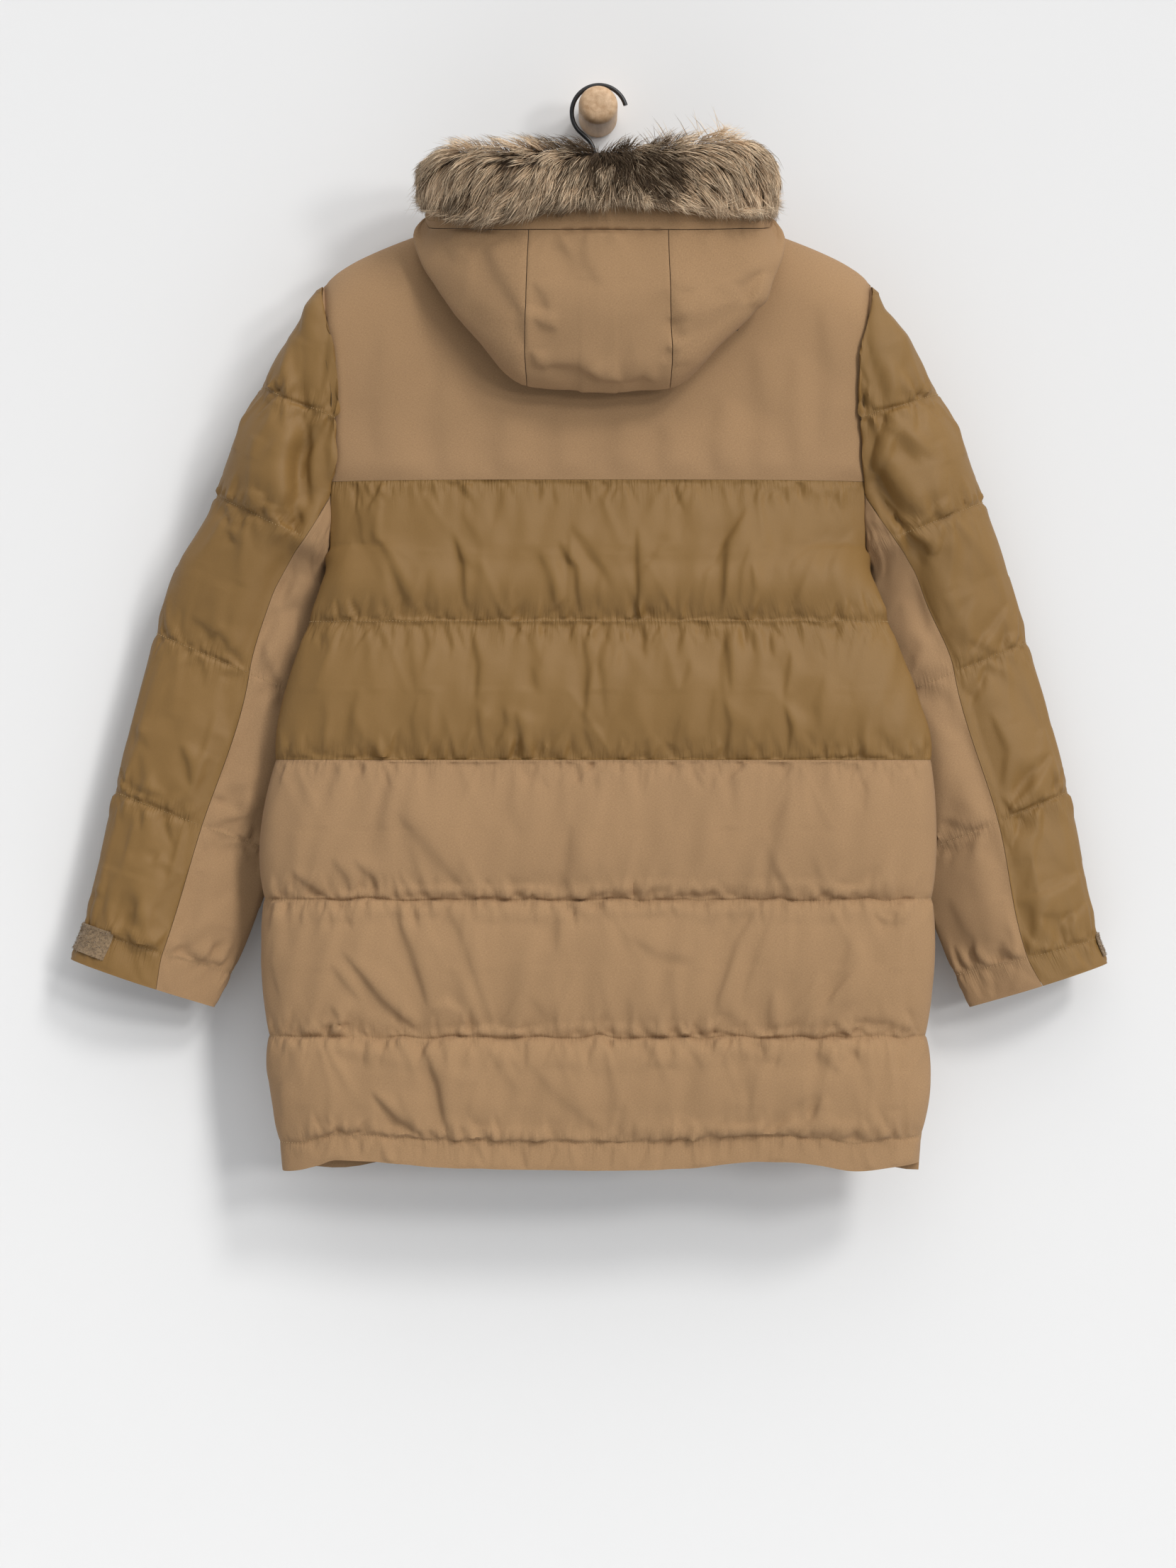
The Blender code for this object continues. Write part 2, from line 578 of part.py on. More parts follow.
def hood_line(angle, low_drop):
    """Knots of one line of the hood, from the neck, down and up to the rim."""
    at = abs(angle)
    sign = 1 if angle >= 0 else -1
    rim, low, root = (np.array([sign * float(read(HOOD, part + "_x", at)),
                                float(read(HOOD, part + "_y", at)), 0]) for part in
                      ("rim", "low", "root"))
    rim[2] = -float(read(HOOD, "rim_drop", at))
    root[2] = -float(read(HOOD, "root_drop", at))
    low[2] = -low_drop
    outward = rim - root
    outward[0] *= float(ease((at - 8) / 60))        # the middle seams hang straight
    outward[2] = 0
    outward /= np.linalg.norm(outward)
    deep = (rim[2] - low[2]) / 187.0
    up = np.array([0, 0, 1.0])
    brim = min(BRIM_HEIGHT, 0.5 * (rim[2] - low[2]))
    middle = low + 0.6 * (rim - low) + outward * 26 * deep
    middle[2] = low[2] + 0.55 * (rim[2] - low[2] - brim)
    knots = [root, (root + low) / 2 + outward * 6 * deep, low - outward * 4 * deep + up * 8 * deep,
             low, low + outward * 16 * deep + up * 6 * deep,
             low + outward * 34 * deep + up * 30 * deep, middle,
             rim - up * brim + outward * 2, rim]
    return np.array(knots)


def yoke_skin_y(x, drop):
    """Outside of the back yoke at a place, seen from behind."""
    high = top_drop(x, BACK_DIP)
    down = np.clip((drop - high) / (YOKE_DROP - high), 0, 1)
    edge_drop = TIP_DROP + (YOKE_DROP - TIP_DROP) * down
    share = np.clip(np.abs(x) / half_width("right", edge_drop), 0, 0.999)
    high_y = SHOULDER_Y - NECK_BACK * neck_bow(x)
    return turned_over(high_y, back_y(share, edge_drop), drop - high) - YOKE_WALL * 1.15


def hood_point(angle, along):
    """Inside of the hood's bag, by angle in degrees and 0 to 1 from neck to rim."""
    points = np.zeros(angle.shape + (3,))
    for index in np.ndindex(angle.shape):
        at = float(angle[index])
        side = "low_left" if at < 0 else "low_right"
        knots = hood_line(at, float(read(HOOD, side, abs(at))))
        if abs(at) < 6:
            low = (float(read(HOOD, "low_left", 0)) * (6 - at)
                   + float(read(HOOD, "low_right", 0)) * (6 + at)) / 12
            knots = hood_line(at, low)
        length = np.linalg.norm(np.diff(knots, axis=0), axis=1)
        reach = np.concatenate([[0], np.cumsum(length)])
        brim_start = reach[-2] / reach[-1]
        share = float(along[index])
        # rows below 0.85 share out the bag, the rest is the brim
        here = (share / 0.85 * brim_start if share < 0.85
                else brim_start + (share - 0.85) / 0.15 * (1 - brim_start))
        points[index] = [float(smooth(here * reach[-1], reach, knots[:, i])) for i in range(3)]
    inner_layer = (along < 0.45) & (np.abs(angle) < 92)
    clear = yoke_skin_y(points[..., 0], -points[..., 2]) - HOOD_WALL - 0.25
    clear = np.where(-points[..., 2] > top_drop(points[..., 0], BACK_DIP) - 4, clear, 0)
    points[..., 1] = np.where(inner_layer, np.minimum(points[..., 1], clear), points[..., 1])
    return points


def hood_grids(angles, along):
    angle, row = np.meshgrid(angles, along)
    inside = hood_point(angle, row)
    u = hood_point(np.clip(angle + 1, -HOOD_END, HOOD_END), row) - hood_point(
        np.clip(angle - 1, -HOOD_END, HOOD_END), row)
    v = hood_point(angle, np.clip(row + 0.01, 0, 1)) - hood_point(angle, np.clip(row - 0.01, 0, 1))
    normal = np.cross(v, u)
    normal /= np.linalg.norm(normal, axis=-1, keepdims=True)
    return [inside, inside + normal * HOOD_WALL]


def build_hood():
    bag = np.array([0, .1, .2, .3, .38, .44, .49, .54, .6, .67, .75, .85])
    brim = np.array([.85, .925, 1.0])
    centre = np.linspace(-HOOD_SEAM, HOOD_SEAM, 7)
    side = np.array([HOOD_SEAM, 34, 45, 56, 66, 75, 83, 90, 97, 105, 115, 125, 132, HOOD_END])
    everywhere = np.concatenate([-side[::-1], centre[1:-1], side])
    for name, angles, rows, edges in (
            ("hood_centre", centre, bag, ("first", "last", "bottom")),
            ("hood_side_right", side, bag, ("first", "bottom")),
            ("hood_side_left", -side[::-1], bag, ("last", "bottom")),
            ("hood_brim", everywhere, brim, ("top",))):
        grids = hood_grids(angles, rows)
        draw_back(grids, edges, 0.4)
        cloth_wall(name, grids[0], grids[1], "tan")


def build_collar():
    angle = np.radians(np.linspace(-158, 158, 29))
    rise = np.array([0, .35, .7, 1.0])
    turn, up = np.meshgrid(angle, rise)
    back = np.cos(turn) > 0
    reach = np.where(back, NECK_BACK, NECK_FRONT)
    dip = np.where(back, BACK_DIP, FRONT_DIP) * np.cos(turn) ** 2
    lean = 4 * up
    grids = []
    for wall in (0.0, COLLAR_WALL):
        x = (NECK_HALF + wall - lean) * np.sin(turn)
        y = SHOULDER_Y - (reach + wall - lean) * np.cos(turn)
        drop = 103 + dip - YOKE_WALL - 1.0 - COLLAR_HEIGHT * up
        grids.append(np.stack([x, y, -drop], axis=-1))
    cloth_wall("collar", grids[0], grids[1], "tan")


def build_fur():
    """Solid as wide as the fur, lying over the rim of the hood."""
    angles = np.linspace(-FUR_END, FUR_END, 41)
    sections = []
    for angle in angles:
        at = abs(angle)
        grids = hood_grids(np.array([angle]), np.array([0.85, 1.0]))
        rim = grids[0][1, 0]
        root = np.array([math.copysign(float(read(HOOD, "root_x", at)), angle),
                         float(read(HOOD, "root_y", at)), 0])
        outward = rim - root
        outward[2] = 0
        outward /= np.linalg.norm(outward)
        side = "_left" if angle < 0 else "_right"
        below, above, reach = (float(read(FUR, name, at)) for name in
                               ("below" + side, "above" + side, "reach"))
        brim = HOOD_WALL + 0.8 + 2 * float(ease((at - 95) / 15))
        lift = 0.7 + 1.6 * float(ease((at - 95) / 15))
        shape = [(-9, lift), (-12, 0.35 * above), (-8, 0.7 * above), (0.15 * reach, 0.93 * above),
                 (0.5 * reach, above), (0.85 * reach, 0.8 * above), (reach, 0.45 * above),
                 (reach, 0.05 * above), (0.85 * reach, -0.6 * below), (0.55 * reach, -below),
                 (brim, -0.8 * below), (brim, lift)]
        section = []
        for out, up in shape:
            section.append(rim + outward * out + np.array([0, 0, up]))
        sections.append(section)
    loft("fur_trim", sections, "fur")


# ---------------------------------------------------------------- zip

ZIP_TOP = 150.0
ZIP_BOTTOM = 1000.0
SLIDER_DROP = 158.0


def zip_y(drop):
    return float(front_y(np.array(0.0), np.array(drop)))


def box(name, low, high, colour, bevel=0.0):
    bm = bmesh.new()
    bmesh.ops.create_cube(bm, size=1)
    for vert in bm.verts:
        vert.co = [low[i] if vert.co[i] < 0 else high[i] for i in range(3)]
    if bevel:
        bmesh.ops.bevel(bm, geom=bm.edges[:], offset=bevel, segments=2, profile=0.5,
                        affect="EDGES")
    return place(name, bm, colour)


def build_zip():
    for side, sign in (("left", -1), ("right", 1)):
        rows = np.concatenate([[ZIP_TOP, 185], np.linspace(230, ZIP_BOTTOM, 12)])
        grids = []
        for deep in (0.5, 2.5):
            grid = [[(sign * x, zip_y(drop) + deep, -drop) for x in (0.2, ZIP_HALF - 0.6)]
                    for drop in rows]
            grids.append(np.array(grid))
        cloth_wall("zip_tape_" + side, grids[0], grids[1], "tape")
    face = zip_y(SLIDER_DROP) + 2.5
    box("zip_slider", (-5, face + 0.3, -SLIDER_DROP - 7), (5, face + 4.3, -SLIDER_DROP + 7),
        "metal", 0.8)
    pull_face = face + 4.7
    box("zip_pull", (-4, pull_face, -SLIDER_DROP - 30), (4, pull_face + 2, -SLIDER_DROP + 2),
        "metal", 0.6)


# ---------------------------------------------------------------- hanger and peg

def wire(name, points, radius, colour, sides=8):
    """Round bar along a line of points, with closed ends."""
    curve = bpy.data.curves.new(name, "CURVE")
    curve.dimensions = "3D"
    curve.bevel_depth = radius * MM
    curve.bevel_resolution = sides // 4
    curve.use_fill_caps = True
    curve.render_resolution_u = 0
    spline = curve.splines.new("POLY")
    spline.points.add(len(points) - 1)
    for knot, point in zip(spline.points, points):
        knot.co = (point[0] * MM, point[1] * MM, point[2] * MM, 1)
    obj = bpy.data.objects.new(name, curve)
    bpy.context.scene.collection.objects.link(obj)
    curve.materials.append(material(colour))
    return obj


def build_hanger():
    centre_x, centre_z = 1.0, PEG_RADIUS + WIRE_RADIUS + 0.1 - HOOK_RADIUS
    turns = np.radians(np.linspace(15, 222, 24))
    loop = [(centre_x + HOOK_RADIUS * math.cos(t), SHOULDER_Y, centre_z + HOOK_RADIUS * math.sin(t))
            for t in turns]
    stem = [(-13, SHOULDER_Y, -29), (-7.5, SHOULDER_Y, -35), (-4.5, SHOULDER_Y, -43),
            (-4, SHOULDER_Y, -55), (-4, SHOULDER_Y, -85.7)]
    wire("hanger_hook", loop + stem, WIRE_RADIUS, "metal", 12)
    below = BAR_RADIUS * 1.1 + 1.3      # the shoulder line slopes
    half = [(x, SHOULDER_Y, -float(read(SHOULDER, "drop", x)) - below) for x in
            (212, 190, 165, 140, 115, 97)]
    middle = [(78, SHOULDER_Y, -113), (58, SHOULDER_Y, -105), (30, SHOULDER_Y, -96)]
    right = half + middle
    left = [(-x, y, z) for x, y, z in reversed(right)]
    wire("hanger_bar", right + [(0, SHOULDER_Y, -92.5)] + left, BAR_RADIUS, "bar", 12)


def build_peg():
    bpy.ops.mesh.primitive_cylinder_add(vertices=32, radius=PEG_RADIUS * MM,
                                        depth=PEG_LENGTH * MM,
                                        location=(0, -PEG_LENGTH / 2 * MM, 0),
                                        rotation=(math.pi / 2, 0, 0))
    peg = bpy.context.object
    peg.name = "wall_peg"
    bpy.ops.object.transform_apply(location=True, rotation=True, scale=True)
    bm = bmesh.new()
    bm.from_mesh(peg.data)
    tip = [edge for edge in bm.edges if all(v.co.y < -PEG_LENGTH * 0.9 * MM for v in edge.verts)]
    bmesh.ops.bevel(bm, geom=tip, offset=11 * MM, segments=5, profile=0.55, affect="EDGES")
    bm.to_mesh(peg.data)
    bm.free()
    peg.data.materials.append(material("wood"))


def main():
    for obj in list(bpy.data.objects):
        bpy.data.objects.remove(obj, do_unlink=True)
    build_body()
    build_sleeves()
    build_hood()
    build_collar()
    build_fur()
    build_zip()
    build_hanger()
    build_peg()


main()
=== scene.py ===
# %% [markdown]
# # A quilted parka with a fur ruff, hung back outwards
#
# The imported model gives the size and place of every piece.  This script dresses it: it
# makes fine cloth over the same sections, lets Blender's Cloth wrinkle the padded parts,
# then adds creases, stitches, fur, a zip and the hanger.  Lengths are in millimetres
# until a mesh is made, and "drop" is the depth below the middle of the peg.

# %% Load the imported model
import math

import bpy
import numpy as np
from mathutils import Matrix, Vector


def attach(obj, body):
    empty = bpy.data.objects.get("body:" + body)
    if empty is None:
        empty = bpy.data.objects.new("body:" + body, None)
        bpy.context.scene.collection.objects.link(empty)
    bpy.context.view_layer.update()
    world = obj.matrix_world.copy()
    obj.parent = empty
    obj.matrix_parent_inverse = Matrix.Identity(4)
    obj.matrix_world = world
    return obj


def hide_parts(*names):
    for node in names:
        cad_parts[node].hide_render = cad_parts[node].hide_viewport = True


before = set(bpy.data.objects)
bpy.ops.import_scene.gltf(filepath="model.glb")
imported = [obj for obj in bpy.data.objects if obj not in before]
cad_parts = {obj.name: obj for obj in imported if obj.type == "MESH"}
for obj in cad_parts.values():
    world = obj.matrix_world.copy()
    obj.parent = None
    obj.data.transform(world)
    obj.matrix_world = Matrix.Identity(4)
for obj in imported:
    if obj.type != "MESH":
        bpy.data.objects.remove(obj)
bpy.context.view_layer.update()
scene = bpy.context.scene
MM = 0.001

# %% [markdown]
# ## The pattern of the coat
#
# A coat is cut from flat pieces, but what we see is a handful of smooth curves: how wide
# the body is at each height, how deep, where the sleeve's two edges run.  Short tables
# hold those curves, and one monotone cubic reads them, so nothing bulges between rows.

# %% Tables and curves
SHELL, YOKE_WALL, HOOD_WALL = 3.0, 6.0, 3.0
BACK_LOFT, FRONT_LOFT, SLEEVE_LOFT, SAG = 14.0, 9.0, 10.5, 4.0
YOKE_DROP, BLOCK_DROP, UNDERARM_DROP = 372.0, 645.0, 438.0
HEM_STITCH_DROP, HEM_DROP, TIP_DROP = 1015.0, 1042.0, 184.0
BODY_LINES = (YOKE_DROP, 510.0, BLOCK_DROP, 781.0, 915.0, HEM_STITCH_DROP, HEM_DROP + 27)
SHOULDER_Y, NECK_HALF, NECK_BACK, NECK_FRONT = -66.0, 87.0, 38.0, 30.0
BACK_DIP, FRONT_DIP, SHOULDER_ROLL = 14.0, 37.0, 55.0
ARMHOLE_HALF, ZIP_HALF = 40.0, 15.0
SLEEVE_LINES = (0.0, 125.0, 240.0, 385.0, 539.0, 686.0)
SLEEVE_END = 713.0
HOOD_END, HOOD_SEAM, BRIM_HEIGHT = 138.0, 24.0, 26.0


def table(names, *rows):
    """A dictionary of columns from rows of numbers."""
    return dict(zip(names.split(), np.array(rows, float).T))


BODY = table("drop left right seam_y back front roll",
             (184, 271, 269, -66, 42, 34, 0), (313, 260, 259, -67, 46, 34, 0),
             (383, 262, 261, -72, 46, 38, 0), (438, 263, 262, -80, 42, 44, 0),
             (455, 260, 260, -84, 38, 50, 2), (480, 268, 268, -90, 36, 56, 8),
             (507, 280, 281, -91, 34, 58, 9), (575, 299, 304, -92, 34, 60, 10),
             (645, 314, 324, -92, 34, 60, 10), (745, 325, 325, -92, 34, 60, 10),
             (900, 321, 319, -92, 34, 60, 10), (975, 314, 317, -92, 33, 58, 10),
             (1042, 307, 312, -92, 32, 56, 10))
SHOULDER = table("x drop", (87, 103), (172, 131), (225, 152), (251, 166), (271, 184))
SLEEVE_COLUMNS = "s out_x out_drop in_x in_drop out_y in_y deep seam"
SLEEVES = {
    "right": table(SLEEVE_COLUMNS,
                   (0, 269.6, 184, 269.6, 192, -66, -66, 23, 1.84),
                   (20, 276, 198, 267, 212, -66, -66, 38, 1.75),
                   (60, 299, 230, 264, 251, -65, -66, 44, 1.57),
                   (125, 333, 285, 259.5, 313, -63, -67, 44, 1.29),
                   (190, 360, 342, 261.5, 383, -60, -72, 40, 1),
                   (240, 378, 391, 264, 438, -57, -80, 36, 0.78),
                   (258, 385, 408, 268, 456, -56, -67, 35, 0.72),
                   (280, 392, 428, 266, 477, -54, -58, 34, 0.64),
                   (310, 400, 457, 260, 509, -52, -50, 32, 0.56),
                   (385, 422, 529, 247, 600, -48, -45, 29, 0.41),
                   (539, 463, 677, 308, 741, -46, -43, 28, 0.445),
                   (686, 493, 822, 357, 857, -45, -43, 27, 0.51),
                   (713, 503, 847, 371, 889, -45, -43, 26, 0.49)),
    "left": table(SLEEVE_COLUMNS,
                  (0, 271.6, 184, 271.6, 192, -66, -66, 23, 1.84),
                  (20, 284, 198, 268, 212, -66, -66, 38, 1.75),
                  (60, 303, 230, 265, 251, -65, -66, 44, 1.57),
                  (125, 330, 279, 260.5, 313, -63, -67, 44, 1.29),
                  (190, 358, 336, 262.5, 383, -60, -72, 40, 1),
                  (240, 375, 385, 265, 438, -57, -80, 36, 0.8),
                  (258, 383, 402, 269, 456, -56, -67, 35, 0.74),
                  (280, 394, 421, 267, 477, -54, -58, 34, 0.67),
                  (310, 410, 448, 263, 508, -52, -50, 32, 0.6),
                  (385, 435, 520, 252, 598, -48, -45, 29, 0.5),
                  (539, 476, 677, 318, 737, -46, -43, 28, 0.54),
                  (686, 508, 812, 366, 855, -45, -43, 27, 0.55),
                  (713, 521, 843, 383, 889, -45, -43, 26, 0.61)),
}
HOOD = table("angle rim_x rim_y rim_drop low_x low_y low_left low_right root_x root_y root_drop",
             (0, 0, -186, 111, 0, -146, 288, 289, 0, -116, 119),
             (24, 67, -182, 111, 69, -145, 282, 284, 40, -113, 115),
             (45, 114, -170, 109, 119, -141, 238, 242, 68, -105, 106.5),
             (60, 140, -153, 106, 147, -134, 199, 212, 84, -96, 101),
             (75, 157, -130, 103, 164, -125, 165, 174, 94, -84, 97.5),
             (90, 164, -103, 98, 171, -108, 138, 143, 98, -70, 95.6),
             (110, 152, -72, 90, 158, -82, 114, 114, 95, -55, 95.5),
             (125, 126, -52, 83, 127, -61, 104, 104, 84, -44, 97),
             (138, 96, -40, 80, 93, -46, 101, 101, 74, -38, 103))
FUR = table("angle below_left above_left below_right above_right reach",
            (0, 5, 57, 5, 57, 26), (14, 14, 57, 8, 58, 28), (35, 25, 60, 19, 69, 30),
            (60, 22, 61, 22, 73, 25), (78, 15, 50, 17, 60, 18), (90, 10, 42, 11, 50, 15),
            (108, 4, 34, 4, 40, 12), (124, 1.5, 25, 1.5, 27, 9))


def smooth(at, xs, ys):
    """Cubic through the points (xs, ys) that never swings past them."""
    at = np.clip(np.asarray(at, float), xs[0], xs[-1])
    step = np.diff(xs)
    rise = np.diff(ys) / step
    slope = np.zeros_like(ys)
    pair = rise[:-1] * rise[1:]
    total = np.where(pair > 0, rise[:-1] + rise[1:], 1.0)
    slope[1:-1] = np.where(pair > 0, 2 * pair / total, 0.0)
    slope[0], slope[-1] = rise[0], rise[-1]
    i = np.clip(np.searchsorted(xs, at, side="right") - 1, 0, len(step) - 1)
    u = (at - xs[i]) / step[i]
    return (ys[i] * (1 + 2 * u) * (1 - u) ** 2 + ys[i + 1] * u * u * (3 - 2 * u)
            + step[i] * (slope[i] * u * (1 - u) ** 2 + slope[i + 1] * u * u * (u - 1)))


def read(tab, name, at):
    """Smooth value of one column of a table, by its first column."""
    return smooth(at, tab[next(iter(tab))], tab[name])


def ease(value):
    """0 below 0, 1 above 1, and a soft step between them."""
    value = np.clip(value, 0.0, 1.0)
    return value * value * (3 - 2 * value)


def unit(vectors):
    return vectors / np.maximum(np.linalg.norm(vectors, axis=-1, keepdims=True), 1e-9)


def run_length(line):
    """Distance along a line of points, from its first one."""
    return np.concatenate([[0], np.cumsum(np.linalg.norm(np.diff(line, axis=0), axis=-1))])


def sample(at, reach, line):
    """Points of a line at given distances along it."""
    return np.stack([np.interp(at, reach, line[:, k]) for k in range(3)], -1)


def grid_quads(index):
    """Quads between the rows and columns of a grid of point numbers."""
    return np.stack([index[:-1, :-1], index[:-1, 1:], index[1:, 1:], index[1:, :-1]],
                    -1).reshape(-1, 4)


print("body is", read(BODY, "left", 745) + read(BODY, "right", 745), "mm wide")

# %% [markdown]
# ## Surfaces of the body
#
# The back and front panels share a side seam below the arm and part around the armhole
# above it.  Both are read by "share", from -1 at the left edge to 1 at the right, so the
# same columns run through yoke, middle and lower block and the seams line up.

# %% Body surfaces


def half_width(side, drop):
    return read(BODY, side, drop)


def armhole_gap(drop):
    """Half gap between the back and the front edge of an armhole."""
    share = np.clip((np.asarray(drop, float) - TIP_DROP) / (UNDERARM_DROP - TIP_DROP), 0, 1)
    return ARMHOLE_HALF * np.maximum(np.sin(math.pi * share ** 0.55), 0) ** 0.75


def neck_bow(x):
    return np.sqrt(np.maximum(1 - (x / NECK_HALF) ** 2, 0))


def top_drop(x, dip):
    """Top edge of the yoke: the shoulder line, then the dip of the neck hole."""
    return read(SHOULDER, "drop", np.abs(x)) + dip * neck_bow(x) ** 2


def width_at(share, drop):
    return np.where(share < 0, share * half_width("left", drop), share * half_width("right", drop))


def yoke_place(share, down, dip):
    edge_drop = TIP_DROP + (YOKE_DROP - TIP_DROP) * down
    x = width_at(share, edge_drop)
    high = top_drop(x, dip)
    return x, high + (YOKE_DROP - high) * down, edge_drop


def turned_over(high_y, full_y, below):
    roll = np.clip(below / SHOULDER_ROLL, 0, 1)
    return high_y + (full_y - high_y) * np.sqrt(1 - (1 - roll) ** 2)


def back_y(share, edge_drop):
    """Depth of the back panel's inside."""
    seam, deep = read(BODY, "seam_y", edge_drop), read(BODY, "back", edge_drop)
    gap = armhole_gap(edge_drop)
    closed = ease((edge_drop - UNDERARM_DROP + 12) / 40)
    soft = 1 - np.abs(share) ** 4
    full = np.sqrt(np.maximum(1 - np.abs(share) ** 6, 0))
    return seam - gap - (deep - gap) * (soft * (1 - closed) + full * closed)


def front_y(share, edge_drop):
    """Depth of the front panel's inside: recessed beside the sleeves, full before."""
    seam, deep = read(BODY, "seam_y", edge_drop), read(BODY, "front", edge_drop)
    side = np.abs(share)
    roll = read(BODY, "roll", edge_drop) * np.sqrt(np.maximum(1 - side ** 6, 0))
    edge = seam + armhole_gap(edge_drop) + roll
    return edge + (seam + deep - edge) * ease((0.80 - side) / 0.45)


def yoke_surface(facing):
    depth, dip = (back_y, BACK_DIP) if facing < 0 else (front_y, FRONT_DIP)
    reach = NECK_BACK if facing < 0 else NECK_FRONT

    def point(share, down):
        x, drop, edge_drop = yoke_place(share, down, dip)
        high_y = SHOULDER_Y + facing * reach * neck_bow(x)
        y = turned_over(high_y, depth(share, edge_drop), drop - top_drop(x, dip))
        y = np.where(np.abs(share) >= 1, depth(share, edge_drop), y)
        return np.stack([x, y, -drop], axis=-1)
    return point


def block_surface(facing):
    depth = back_y if facing < 0 else front_y

    def point(share, drop):
        return np.stack([width_at(share, drop), depth(share, drop), -drop], axis=-1)
    return point


def yoke_skin_y(x, drop):
    """Outside of the back yoke at a place, seen from behind."""
    high = top_drop(x, BACK_DIP)
    down = np.clip((drop - high) / (YOKE_DROP - high), 0, 1)
    edge_drop = TIP_DROP + (YOKE_DROP - TIP_DROP) * down
    share = np.clip(np.abs(x) / half_width("right", edge_drop), 0, 0.999)
    high_y = SHOULDER_Y - NECK_BACK * neck_bow(x)
    return turned_over(high_y, back_y(share, edge_drop), drop - high) - YOKE_WALL * 1.15


def grid_normals(grid):
    return unit(np.cross(np.gradient(grid, axis=1), np.gradient(grid, axis=0)))


def panel_normals(inner, share, drop, facing):
    """Outward normals of a body panel; at the zip they point straight out."""
    normal = grid_normals(inner)
    if (normal[..., 1] * facing).sum() < 0:
        normal = -normal
    normal = edge_normals(normal, share, drop, facing)
    if facing > 0:
        normal[np.abs(share) == np.abs(share).min()] = (0, 1, 0)
    return normal


def edge_normals(normal, share, drop, facing):
    """Turn the normals of the side edges so that neighbouring walls never cross."""
    at_side = np.abs(share) >= 0.9999
    armhole = at_side & (drop <= UNDERARM_DROP + 0.1)
    flat = normal.copy()
    flat[..., 0] = 0
    flat[..., 1] = np.where(flat[..., 1] * facing > 0.05, flat[..., 1], 0.05 * facing)
    normal[armhole] = unit(flat)[armhole]
    side = at_side & ~armhole
    normal[side] = np.stack([np.sign(share), 0 * share, 0 * share], axis=-1)[side]
    return normal


def meet_armhole(outside, share, drop):
    """Keep the outer edge of an armhole on the same line as its inner edge."""
    for side, sign in (("left", -1), ("right", 1)):
        limit = half_width(side, -outside[..., 2])
        above = drop <= UNDERARM_DROP + 0.1
        edge = above & (share * sign >= 0.9999)
        over = edge | (above & (outside[..., 0] * sign > limit))
        outside[over, 0] = sign * limit[over]
    return outside


def draw_back(grids, edges, gap):
    """Draw the named edges of both faces of a wall back, which opens the seams a little."""
    for grid in grids:
        for edge in edges:
            border, following = {"top": (grid[0], grid[1]), "bottom": (grid[-1], grid[-2]),
                                 "first": (grid[:, 0], grid[:, 1]),
                                 "last": (grid[:, -1], grid[:, -2])}[edge]
            border += gap * unit(following - border)


# %% [markdown]
# ## Baffles, puckers and creases
#
# A baffle is a tube of cloth between two stitched lines.  Its filling sinks, so it is
# fullest a little below its middle.  Where the thread pulls the cloth in, small ridges
# fan out of the line: puckers.  Long creases come from how the coat hangs, and each is
# listed in a table: three points that it runs through, its width and its depth.
# The ridge beside a crease lies on the right of its direction of travel.

# %% Height of the padding, puckers and creases


def baffle(at, lines, sunk=1.25):
    """0 on each line of stitching, 1 at the fullest place between two of them; the larger
    sunk is, the lower this place."""
    lines = np.asarray(lines, float)
    i = np.clip(np.searchsorted(lines, at, side="right") - 1, 0, len(lines) - 2)
    share = np.clip((at - lines[i]) / (lines[i + 1] - lines[i]), 0, 1)
    power = np.broadcast_to(sunk, len(lines) - 1)[i]
    return np.maximum(1 - np.abs(2 * share ** power - 1) ** 2.2, 0) ** 0.85, share


def uneven(along, seed, waves=6, longest=150.0):
    """Soft unevenness of about -1 to 1 along a line, from a few waves."""
    draw = np.random.default_rng(seed)
    total = np.zeros(np.shape(along))
    for i in range(waves):
        length = longest / (1 + 0.55 * i) * draw.uniform(0.85, 1.15)
        total += draw.uniform(0.5, 1) * np.sin(2 * math.pi * along / length
                                               + draw.uniform(0, 2 * math.pi))
    return total / waves ** 0.5


def puckers(along, away, seed, reach=17.0, high=1.0, pitch=4.4):
    """Small ridges that fan out of a stitched line: away is the distance from it."""
    draw = np.random.default_rng(seed)
    low, top = along.min(), along.max()
    near = np.abs(away) < 4 * reach
    total = np.zeros(along.shape)
    here, far = along[near], away[near]
    ridges = np.zeros(here.shape)
    for _ in range(int((top - low) / pitch)):
        at, lean, side = draw.uniform(low, top), draw.normal(0, 0.30), draw.choice((-1, 1))
        wide, deep = draw.uniform(2.1, 3.8), reach * draw.uniform(0.2, 1.0) ** 1.6 * 1.5
        out = np.maximum(far * side, 0) / deep
        ridge = np.exp(-((here - at - lean * far) / (wide * (1 + 0.5 * out))) ** 2)
        ridges += draw.uniform(0.25, 1.0) * ridge * out * np.exp(1 - out)
    total[near] = ridges * high
    return total


def beside(x, drop, path):
    """Signed distance from a path of three points, above 0 on the right when it runs
    down, and how far along the path the nearest point is."""
    near, side, along = np.full(x.shape, 1e6), np.ones(x.shape), np.zeros(x.shape)
    for i, (px, pd, qx, qd) in enumerate((path[:4], path[2:6])):
        sx, sd = qx - px, qd - pd
        t = np.clip(((x - px) * sx + (drop - pd) * sd) / (sx * sx + sd * sd + 1e-6), 0, 1)
        dx, dd = x - px - t * sx, drop - pd - t * sd
        gap = np.hypot(dx, dd)
        closer = gap < near
        near = np.where(closer, gap, near)
        side = np.where(closer, np.sign(dx * sd - dd * sx + 1e-9), side)
        along = np.where(closer, (i + t) / 2, along)
    return near * side, along


